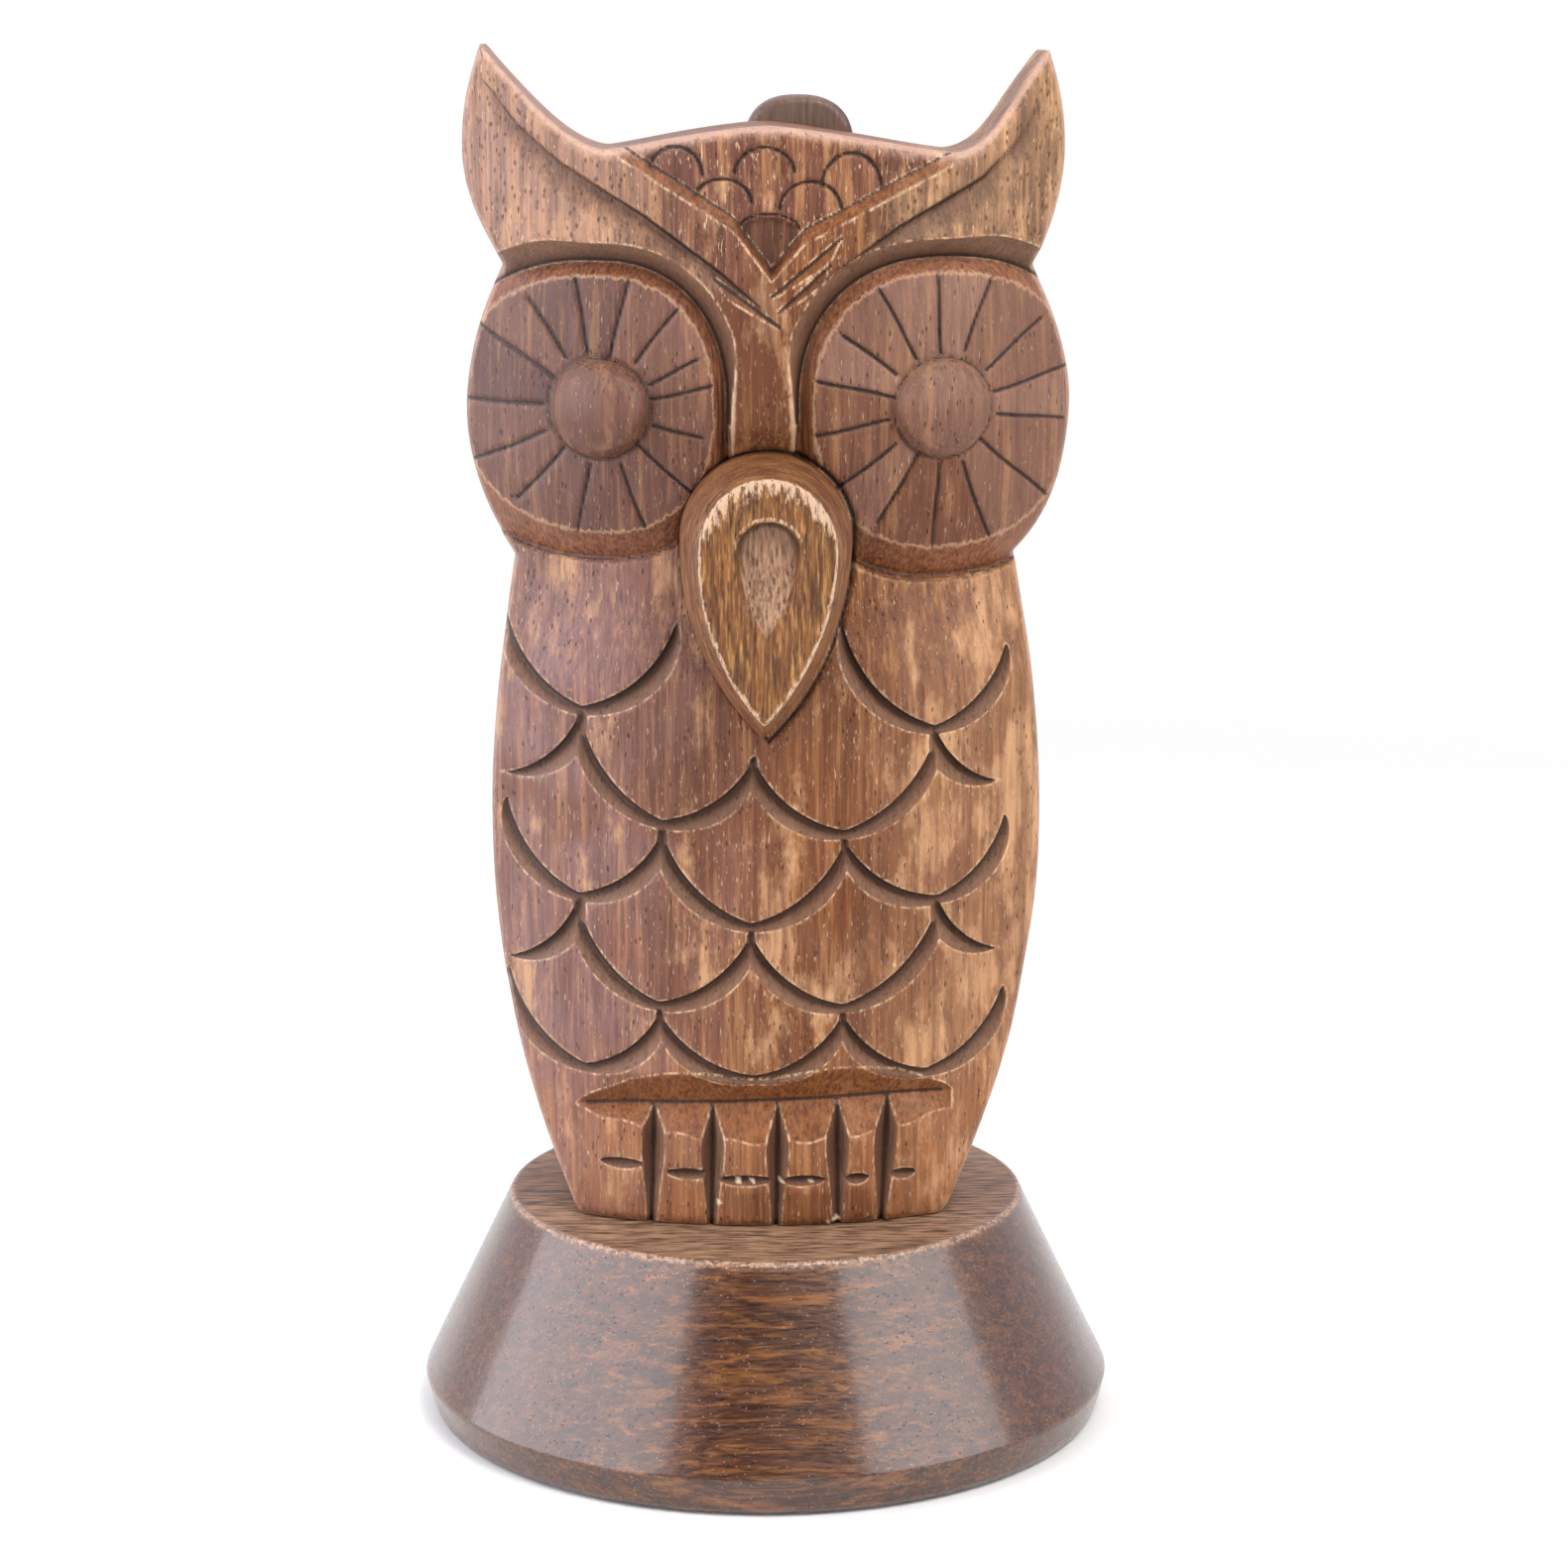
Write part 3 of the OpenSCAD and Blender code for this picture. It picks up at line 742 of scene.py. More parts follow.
def boundary_loop(keep):
    """From each grid corner round the kept cells, the next ones, with the wood on the left."""
    p = np.pad(keep, 1)
    step = {}
    for i, j in zip(*np.nonzero(keep)):
        if not p[i + 1, j]:
            step.setdefault((i, j), []).append((i + 1, j))
        if not p[i + 2, j + 1]:
            step.setdefault((i + 1, j), []).append((i + 1, j + 1))
        if not p[i + 1, j + 2]:
            step.setdefault((i + 1, j + 1), []).append((i, j + 1))
        if not p[i, j + 1]:
            step.setdefault((i, j + 1), []).append((i, j))
    return step


def ordered(step):
    """The longest closed walk through the steps."""
    left = {k: list(v) for k, v in step.items()}
    best = []
    while left:
        start = next(iter(left))
        walk = [start]
        at = start
        while True:
            nxt = left[at].pop()
            if not left[at]:
                del left[at]
            if nxt == start:
                break
            walk.append(nxt)
            at = nxt
        if len(walk) > len(best):
            best = walk
    return best


# how far in from the outline the rows of the front's edge lie
FRONT_INSETS = (0.3, 0.12, 0.0)
SIDE_ROWS = 6
BACK_ROWS = 3
BACK_ROUND = 0.9
# how pale the rows of the back's edge are: worn, and with the painted highlight of the rim
BACK_RIM = (0.4, 0.7, 0.4)
# what the material reads on the sides and the back, which have no cuts
UNCUT = {"inside": -1.0, "wall": 3.0, "line": 1.0, "face": 3.0, "facet": -1.0}


def back_cap(ring, numbers):
    """Triangles that fill the flat back inside its last ring of points."""
    points = [Vector((px, pz)) for px, _, pz in ring]
    count = len(points)
    edges = [(k, (k + 1) % count) for k in range(count)]
    out = delaunay_2d_cdt(points, edges, [], 1, 1e-6)
    source = [numbers[orig[0]] for orig in out[3]]
    return [[int(source[k]) for k in reversed(triangle)] for triangle in out[2]]


def filled_ring(inner, ring, line):
    """The ring with the outline's own points wherever it would cut a corner, such as an ear
    tip. Returns for each point the grid vertex it hangs on, and its place."""
    count = len(line)
    nearest = [int(((line - point) ** 2).sum(1).argmin()) for point in ring]
    hangs_on, places = [], []
    for k, point in enumerate(ring):
        hangs_on.append(inner[k])
        places.append(point)
        gap = (nearest[(k + 1) % len(ring)] - nearest[k]) % count
        if gap < count / 4:
            for extra in range(1, gap):
                hangs_on.append(inner[k])
                places.append(line[(nearest[k] + extra) % count])
    return np.array(hangs_on), np.array(places)


def outward_of(ring):
    """Unit vectors that point out of the closed ring, smoothed a little."""
    along = np.roll(ring, -1, 0) - np.roll(ring, 1, 0)
    outward = np.stack([along[:, 1], -along[:, 0]], -1)
    outward /= np.maximum(np.hypot(*outward.T), 1e-9)[:, None]
    for _ in range(3):
        outward = (np.roll(outward, 1, 0) + outward * 2 + np.roll(outward, -1, 0)) / 4
    return outward / np.hypot(*outward.T)[:, None]


def edge_rows(ring, outward, line):
    """Rows of points from the carved front over its edge, down the sawn sides and round to the
    back, and what the gouge did to the rows on the front."""
    ring_x, ring_z = ring.T
    rows, front_work = [], []
    for inset in FRONT_INSETS:
        row_x, row_z = ring_x - outward[:, 0] * inset, ring_z - outward[:, 1] * inset
        row_work = carved(row_x, row_z)
        row_y = front_surface(row_x, row_z, row_work["depth"], np.full(len(row_x), inset))
        rows.append(np.stack([row_x, row_y, row_z], -1))
        front_work.append(row_work)
    # the rounding at the back is smaller where the wood is thin, at the ear tips
    reach = 2.5 * BACK_ROUND
    inner, _ = signed_distance(ring_x - outward[:, 0] * reach, ring_z - outward[:, 1] * reach, line)
    back_round = BACK_ROUND * np.clip(-inner / reach - 0.1, 0, 1)
    low_y = BACK_Y - BACK_ROUND
    for step in range(1, SIDE_ROWS + 1):
        side_y = row_y + (low_y - row_y) * step / SIDE_ROWS
        rows.append(np.stack([ring_x, side_y, ring_z], -1))
    for step in range(1, BACK_ROWS + 1):
        a = step * math.pi / (2 * BACK_ROWS)
        inset = back_round * (1 - math.cos(a))
        back_y = np.full(len(ring_x), low_y + BACK_ROUND * math.sin(a))
        rows.append(np.stack([ring_x - outward[:, 0] * inset, back_y,
                              ring_z - outward[:, 1] * inset], -1))
    return rows, front_work


# passes of blur that reach as far as an edge and as far as a hollow
EDGE_BLUR = 10
HOLLOW_BLUR = 120


def bends(flat_y):
    """How the surface bends at two scales: worn edges, and hollows that get painted shade."""
    fine = blurred(flat_y, 1)
    coarse = blurred(fine, EDGE_BLUR)
    return {"bend": coarse - fine, "hollow": blurred(coarse, HOLLOW_BLUR) - fine}


def worn_and_highlit_rim(signed, nearest, outward):
    """The edge is pale from wear and from a painted highlight of the top light, most of all where it
    faces up: on the grid and on the rows.
    """
    length = np.maximum(np.hypot(*np.moveaxis(nearest, -1, 0)), 1e-9)
    upward = np.clip(nearest[..., 1] / length, 0, 1)
    outer = np.exp(-np.clip(-signed, 0, None) / (0.3 + 0.9 * upward)) * (0.5 + 0.5 * upward)
    ring_rim = 0.5 + 0.5 * np.clip(outward[:, 1], 0, 1)
    shares = [1.0] * len(FRONT_INSETS) + [0.25] * SIDE_ROWS + list(BACK_RIM)
    return outer, np.concatenate([ring_rim * share for share in shares])


def carve_owl():
    """The whole block: a carved front on a fine grid, sawn sides and a flat back."""
    line = outline()
    gx, gz = grid_lines()
    x, z = np.meshgrid(gx, gz, indexing="ij")
    signed, nearest = signed_distance(x, z, line)
    keep = kept_cells(signed < -GRID_INSET)
    used = np.zeros(x.shape, bool)
    i, j = np.nonzero(keep)
    for di, dj in ((0, 0), (1, 0), (0, 1), (1, 1)):
        used[i + di, j + dj] = True
    work = carved(x, z)
    y = front_surface(x, z, work["depth"], -signed)

    index = np.full(x.shape, -1)
    index[used] = np.arange(used.sum())
    verts = [np.stack([x[used], y[used], z[used]], -1)]
    faces = np.stack([index[i, j], index[i, j + 1], index[i + 1, j + 1], index[i + 1, j]], -1)
    faces = faces[:, ::-1].tolist()

    # rings of points from the edge of the grid out to the outline, and on to the back
    li, lj = np.array(ordered(boundary_loop(keep))).T
    near = np.stack([x[li, lj], z[li, lj]], -1)
    _, toward = signed_distance(near[:, 0], near[:, 1], line)
    edge_vertex, ring = filled_ring(index[li, lj], near + toward, line)
    outward = outward_of(ring)
    rows, front_work = edge_rows(ring, outward, line)
    count = len(ring)
    numbers = [edge_vertex]
    total = used.sum()
    for row in rows:
        numbers.append(total + np.arange(count))
        verts.append(row)
        total += count
    for upper, lower in zip(numbers[:-1], numbers[1:]):
        for a, b, c, d in zip(upper, lower, np.roll(lower, -1), np.roll(upper, -1)):
            faces.append([int(a), int(b), int(c)] if a == d else [int(a), int(b), int(c), int(d)])
    faces += back_cap(rows[-1], numbers[-1])
    piece = new_mesh("owl_carving", np.concatenate(verts), faces)

    rest = total - used.sum()
    # the front without its rounded edge
    flat_y = front_surface(x, z, work["depth"], np.full(x.shape, 2 * EDGE_ROUND))
    for name, values in bends(flat_y).items():
        point_values(piece, name, np.concatenate([values[used], np.zeros(rest)]))
    outer, rim = worn_and_highlit_rim(signed, nearest, outward)
    point_values(piece, "rim", np.concatenate([outer[used], rim]))
    for name in sorted(work.keys() - {"depth"}):
        front = [row_work[name] for row_work in front_work]
        beside = np.full(rest - count * len(front), UNCUT.get(name, 0.0))
        if name == "ear":
            beside = np.tile(front[-1], len(rows) - len(front))
        point_values(piece, name, np.concatenate([work[name][used], *front, beside]))
    return piece


# ---------------------------------------------------------------- beak, tab and base

def loft(name, rings):
    """A skin through rings of points with the same number of points, closed at both ends."""
    count = len(rings[0])
    verts = np.concatenate(rings)
    faces = []
    for k in range(len(rings) - 1):
        a = k * count + np.arange(count)
        b = a + count
        faces += np.stack([a, np.roll(a, -1), np.roll(b, -1), b], -1).tolist()
    last = (len(rings) - 1) * count
    faces.append(list(range(count))[::-1])
    faces.append([last + k for k in range(count)])
    return new_mesh(name, verts, faces)


def teardrop(half_w, top, reach, count=300):
    """The beak's outline about its axis: round at the top, and two arcs down to the point."""
    side_r = (half_w**2 + reach**2) / (2 * half_w)
    sweep = math.asin(reach / side_r)
    n = count // 4
    right = -sweep * (1 - np.arange(n) / n)
    arch = np.pi * np.arange(2 * n) / (2 * n)
    left = sweep * np.arange(n) / n
    return np.concatenate([
        np.stack([half_w - side_r + side_r * np.cos(right), side_r * np.sin(right)], -1),
        np.stack([half_w * np.cos(arch), top * np.sin(arch)], -1),
        np.stack([side_r - half_w - side_r * np.cos(left), -side_r * np.sin(left)], -1),
    ])


# how far the beak's walls go on past the CAD seat, down to the lower wood of the throat
BEAK_PAST_SEAT = 2.4
BEAK_WALL_ROWS = 26
# the wall leaves the face straight and has turned this far when it meets the front
BEAK_WALL_TURN = math.radians(66)
# rows of the worn rim, for a front of this radius: how far in from its edge, and how far back
BEAK_RIM_R = 7.2
BEAK_RIM = ((0.12, 0.08), (0.3, 0.0), (0.55, 0.0), (0.9, 0.02), (1.4, 0.06), (2.0, 0.1))
BEAK_FLAT_ROWS = 9
HOLLOW_HALF_W = 3.3
HOLLOW_REACH = 9.9
HOLLOW_DEEP = 1.9
HOLLOW_WALL_ROWS = 5
HOLLOW_FLOOR_ROWS = 13


def carve_beak():
    """A teardrop block with rounded walls, a flat front and a hollow let into it."""
    seat_y, face_y = beak_high[1], beak_low[1]
    reach = BEAK_AXIS_Z - BEAK_TIP_Z
    seam = teardrop(BEAK_HALF_W, BEAK_HALF_W, reach - 2.0)
    face = teardrop(BEAK_HALF_W - 2.0, BEAK_HALF_W - 1.5, reach - 4.8)
    hole = teardrop(HOLLOW_HALF_W, HOLLOW_HALF_W - 0.1, HOLLOW_REACH)
    count = len(seam)
    # each ring with its edge value: 1 on the worn rim, and below 0 where painted shade darkens the seat
    # and the corner of the hollow
    rings, worn = [], []

    def put(shape, y, wear):
        # the block was glued on with its point a little to the left
        aside = -0.35 + 0.024 * np.minimum(shape[:, 1], 0)
        rings.append(np.stack([shape[:, 0] + aside, np.broadcast_to(y, count).astype(float),
                               shape[:, 1] + BEAK_AXIS_Z], -1))
        worn.append(np.broadcast_to(wear, count))

    def hollow_y(shape):
        # the hollow is deepest under its round top and runs out at its point
        return face_y + 0.33, HOLLOW_DEEP * smooth((shape[:, 1] + HOLLOW_REACH) / 11.0)

    # the walls start in painted shade where the beak meets the throat
    put(seam, seat_y + BEAK_PAST_SEAT, -1.0)
    put(seam, FRONT_Y + 0.2, -0.7)
    for k in range(1, BEAK_WALL_ROWS + 1):
        a = k / BEAK_WALL_ROWS * BEAK_WALL_TURN
        in_share = (1 - math.cos(a)) / (1 - math.cos(BEAK_WALL_TURN))
        rise = math.sin(a) / math.sin(BEAK_WALL_TURN)
        wear = max(0.0, (k / BEAK_WALL_ROWS - 0.93) / 0.07) - 0.5 * max(0.0, 1 - k / 3)
        put(seam + (face - seam) * in_share, FRONT_Y + (face_y + 0.25 - FRONT_Y) * rise, wear)
    walls = len(rings)
    # wear is a thin line down the sides and a broad ragged patch over the top
    top = smooth((face[:, 1] + 0.5) / 6)
    for inset, drop in BEAK_RIM:
        wear = np.clip(1.15 - inset / (0.45 + 2.1 * top), 0, 1)
        put(face * (1 - inset / BEAK_RIM_R), face_y + drop, wear)
    inner = face * (1 - BEAK_RIM[-1][0] / BEAK_RIM_R)
    arched = smooth((hole[:, 1] + 2.0) / 3.5)
    for k in range(1, BEAK_FLAT_ROWS + 1):
        share = k / BEAK_FLAT_ROWS
        put(inner + (hole * 1.1 - inner) * share, face_y + 0.1 + 0.2 * share,
            0.0 if k < BEAK_FLAT_ROWS - 1 else 0.75 * arched)
    # painted shade in the corner under the hollow's round top
    corner = smooth((hole[:, 1] + 6.0) / 7)
    high, low = hollow_y(hole)
    for k in range(1, HOLLOW_WALL_ROWS + 1):
        share = k / HOLLOW_WALL_ROWS
        put(hole * (1.07 - 0.175 * share), high + low * share**1.3,
            0.6 * arched if k == 1 else (-0.5 * share - 0.4) * corner)
    for k in range(1, HOLLOW_FLOOR_ROWS + 1):
        shrunk = hole * 0.895 * (1 - k / (HOLLOW_FLOOR_ROWS + 1))
        high, low = hollow_y(shrunk)
        put(shrunk, high + low, -0.8 * corner if k < 2 else 0.0)
    piece = loft("beak_block", rings)
    point_values(piece, "edge", np.concatenate(worn))
    number = np.repeat(np.arange(len(rings)), count)
    point_values(piece, "floor", number >= len(rings) - HOLLOW_FLOOR_ROWS - 1)
    point_values(piece, "side", number < walls)
    point_values(piece, "ring", number)
    return piece


TAB_FRONT_ROUND = 1.0
TAB_BACK_ROUND = 1.4


def shape_tab():
    """A round-ended tongue with softened edges."""
    half_w = (tab_high[0] - tab_low[0]) / 2
    middle_x = (tab_high[0] + tab_low[0]) / 2
    top_z, low_z = tab_high[2] - half_w, tab_low[2] + half_w
    arch = np.pi * np.arange(40) / 40
    across = np.sign(np.cos(arch)) * np.abs(np.cos(arch)) ** 0.8
    flat_top = np.stack([across, np.sin(arch) ** 0.8], -1)
    round_foot = -np.stack([np.cos(arch), np.sin(arch)], -1)
    rings = []

    def put(inset, y):
        r = half_w - inset
        down = np.stack([np.full(30, -r), np.linspace(top_z, low_z, 31)[:-1]], -1)
        up = np.stack([np.full(30, r), np.linspace(low_z, top_z, 31)[:-1]], -1)
        xz = np.concatenate([flat_top * r + (0, top_z), down, round_foot * r + (0, low_z), up])[::-1]
        rings.append(np.stack([xz[:, 0] + middle_x, np.full(len(xz), y), xz[:, 1]], -1))

    front, back = tab_low[1], tab_high[1]
    put(half_w * 0.5, front)
    for k in range(5):
        a = k * math.pi / 8
        put(TAB_FRONT_ROUND * (1 - math.sin(a)), front + TAB_FRONT_ROUND * (1 - math.cos(a)))
    straight = back - front - TAB_FRONT_ROUND - TAB_BACK_ROUND
    for k in range(1, 6):
        put(0, front + TAB_FRONT_ROUND + straight * k / 6)
    for k in range(6):
        a = k * math.pi / 10
        put(TAB_BACK_ROUND * (1 - math.cos(a)), back - TAB_BACK_ROUND * (1 - math.sin(a)))
    put(half_w * 0.5, back)
    return loft("tab_block", rings)


BASE_TOP_R = 29.6
BASE_WIDEST_Z = 4.5
BASE_FOOT_R = 38.4
BASE_ROUND = 0.5
FELT_RECESS_R = 33.4
FELT_RECESS_Z = 1.2
BASE_SEGMENTS = 288


def base_profile():
    """Radius, height, wear of the edge and share of sawn top, from the middle of the top, down
    the side and under the foot to the felt's recess."""
    top_z, rim_z = base_high[2], base_low[2]
    max_r = base_high[0]
    lean = math.atan2(max_r - BASE_TOP_R, top_z - BASE_WIDEST_Z)
    profile = [(r, top_z, 0.0, 1.0) for r in (4.0, 12.0, 20.0, 27.0)]
    profile += [(BASE_TOP_R - 1.2, top_z, 0.15, 1.0), (BASE_TOP_R - 0.75, top_z, 0.5, 0.8)]
    for k in range(7):
        a = (math.pi / 2 - lean) * k / 6
        profile.append((BASE_TOP_R - BASE_ROUND * (1 - math.sin(a)),
                        top_z - BASE_ROUND * (1 - math.cos(a)), 1.0, 0.5))
    start_r, start_z = profile[-1][:2]
    for k in range(1, 31):
        t = k / 30
        profile.append((start_r + (max_r - 0.15 - start_r) * t,
                        start_z + (BASE_WIDEST_Z + 0.35 - start_z) * t,
                        0.4 if k == 1 else 0.0, 0.0))
    profile += [(max_r, BASE_WIDEST_Z, 0.3, 0.0), (max_r - 0.08, BASE_WIDEST_Z - 0.35, 0.3, 0.0)]
    for out, up, wear in ((0.7, 2.0, 0.0), (0.3, 0.8, 0.0), (0.0, 0.2, 0.2), (-0.3, 0.0, 0.2)):
        profile.append((BASE_FOOT_R + out, rim_z + up, wear, 0.0))
    profile += [(FELT_RECESS_R, rim_z, 0.0, 0.0), (FELT_RECESS_R, FELT_RECESS_Z, 0.0, 0.0)]
    return profile


def turn_base():
    """The base as it comes off the lathe, with a softened top edge and a chamfered foot."""
    profile = base_profile()
    angle = 2 * np.pi * np.arange(BASE_SEGMENTS) / BASE_SEGMENTS
    round_xy = np.stack([np.cos(angle), np.sin(angle)], -1)[::-1]
    rings = [np.column_stack([round_xy * r, np.full(BASE_SEGMENTS, h)]) for r, h, _, _ in profile]
    piece = loft("base_turned", rings)
    point_values(piece, "edge", np.repeat([p[2] for p in profile], BASE_SEGMENTS))
    point_values(piece, "top", np.repeat([p[3] for p in profile], BASE_SEGMENTS))
    return piece


# ---------------------------------------------------------------- materials

class Value:
    """A node's output. + - * and abs make the node that does the same to it."""

    def __init__(self, nodes, socket):
        self.nodes = nodes
        self.socket = socket

    def __add__(self, other):
        return self.nodes.math("ADD", self, other)

    def __sub__(self, other):
        return self.nodes.math("SUBTRACT", self, other)

    def __rsub__(self, other):
        return self.nodes.math("SUBTRACT", other, self)

    def __mul__(self, other):
        return self.nodes.math("MULTIPLY", self, other)

    def __abs__(self):
        return self.nodes.math("ABSOLUTE", self)

    def most(self, other):
        """The larger of the two."""
        return self.nodes.math("MAXIMUM", self, other)

    def span(self, low, high, to_low=0.0, to_high=1.0):
        """Mapped from low..high to to_low..to_high, and held at the ends."""
        return self.nodes.value("MapRange", {"Value": self, "From Min": low, "From Max": high,
                                             "To Min": to_low, "To Max": to_high})

    def tinted(self, share, colour):
        """This colour with a share of another laid over it."""
        return self.nodes.mix(share, self, colour)

    def layered(self, *layers):
        """This colour with a share of each layer's colour laid over it in turn."""
        tone = self
        for share, colour in layers:
            tone = tone.tinted(share, colour)
        return tone


class Nodes:
    """The node tree of a material or a world, with short names for the nodes used here."""

    def __init__(self, owner, output, coordinates):
        owner.use_nodes = True
        self.tree = owner.node_tree
        self.tree.nodes.clear()
        self.out = self.tree.nodes.new(output)
        self.coord = self.value("TexCoord", output=coordinates)

    def put(self, socket, given):
        """Links a Value to the socket, or sets it to a number or a colour."""
        if isinstance(given, Value):
            self.tree.links.new(given.socket, socket)
        else:
            socket.default_value = given

    def value(self, kind, inputs=(), output=0, **settings):
        """The output of a new node."""
        node = self.tree.nodes.new("ShaderNode" + kind)
        for setting, choice in settings.items():
            setattr(node, setting, choice)
        for name, given in dict(inputs).items():
            self.put(node.inputs[name], given)
        return Value(self, node.outputs[output])

    def math(self, kind, a, b=0.0):
        return self.value("Math", {0: a, 1: b}, operation=kind)

    def vector(self, kind, a, b=(0, 0, 0), output="Vector"):
        return self.value("VectorMath", {0: a, 1: b}, output, operation=kind)

    def parts(self, vector):
        """x, y and z of a vector."""
        first = self.value("SeparateXYZ", {0: vector})
        return [Value(self, socket) for socket in first.socket.node.outputs]

    def mix(self, share, a, b):
        """Colour a where share is 0 and b where it is 1."""
        return self.value("Mix", {"Factor": share, "A": a, "B": b}, "Result", data_type="RGBA")

    def blend(self, share, a, b):
        """Shader a where share is 0 and b where it is 1."""
        return self.value("MixShader", {0: share, 1: a, 2: b})


class Shader(Nodes):
    """A material with one principled surface."""

    def __init__(self, name):
        self.material = bpy.data.materials.new(name)
        super().__init__(self.material, "ShaderNodeOutputMaterial", "Object")

    def scaled(self, scale, offset=(0, 0, 0), turn=(0, 0, 0)):
        """Object coordinates in millimetres, scaled on each axis."""
        return self.value("Mapping", {"Vector": self.coord, "Scale": [s / MM for s in scale],
                                      "Location": offset, "Rotation": turn})

    def noise(self, vector, scale=1.0, detail=2.0, rough=0.5, bend=0.0):
        return self.value("TexNoise", {"Vector": vector, "Scale": scale, "Detail": detail,
                                       "Roughness": rough, "Distortion": bend}, "Fac")

    def cells(self, vector):
        """Distance to the middle of the nearest cell."""
        return self.value("TexVoronoi", {"Vector": vector, "Scale": 1.0}, "Distance")

    def attribute(self, name):
        return self.value("Attribute", output="Fac", attribute_name=name)

    def bump(self, height, distance, strength=1.0):
        """distance is in millimetres."""
        return self.value("Bump", {"Height": height, "Distance": distance * MM,
                                   "Strength": strength})

    def surface(self, colour, rough, normal, more=()):
        """The principled surface. more holds its other inputs."""
        inputs = {"Base Color": colour, "Roughness": rough, "Normal": normal,
                  "Coat Roughness": 0.25}
        return self.value("BsdfPrincipled", {**inputs, **dict(more)})

    def done(self, *look):
        """The material with this surface."""
        self.put(self.out.inputs[0], self.surface(*look))
        return self.material


def srgb(*levels):
    """Linear colour from the 0-255 levels a screen shows."""
    shares = [level / 255 for level in levels]
    linear = [v / 12.92 if v <= 0.04045 else ((v + 0.055) / 1.055) ** 2.4 for v in shares]
    return (*linear, 1.0)


def fibres(s, along, across, seed):
    """Coordinates for wood whose fibres run along one axis."""
    scale = [across] * 3
    scale["xyz".index(along)] = across * 0.09
    return s.scaled(scale, offset=(seed, seed, seed))


def streaks(s, along, across, seed):
    """Thin and wide streaks, 0 to 1, that run along one axis."""
    fibre = fibres(s, along, across, seed)
    thin = s.noise(fibre, detail=4, rough=0.62)
    return thin, s.noise(fibre, scale=0.3, detail=3, rough=0.6, bend=0.4)


def dashes(s, scale, seed, size, keep, turn=(0, 0, 0)):
    """Short dashes: 1 on a dash. keep is the share of the wood that has them."""
    cells = s.cells(s.scaled(scale, offset=(seed, seed * 2, seed * 3), turn=turn))
    where = s.noise(s.scaled([v * 0.14 for v in scale], offset=(seed, 0, 0)), detail=3, rough=0.65)
    return cells.span(size * 0.5, size, 1.0, 0.0) * where.span(0.62 - 0.3 * keep, 0.7 - 0.3 * keep)


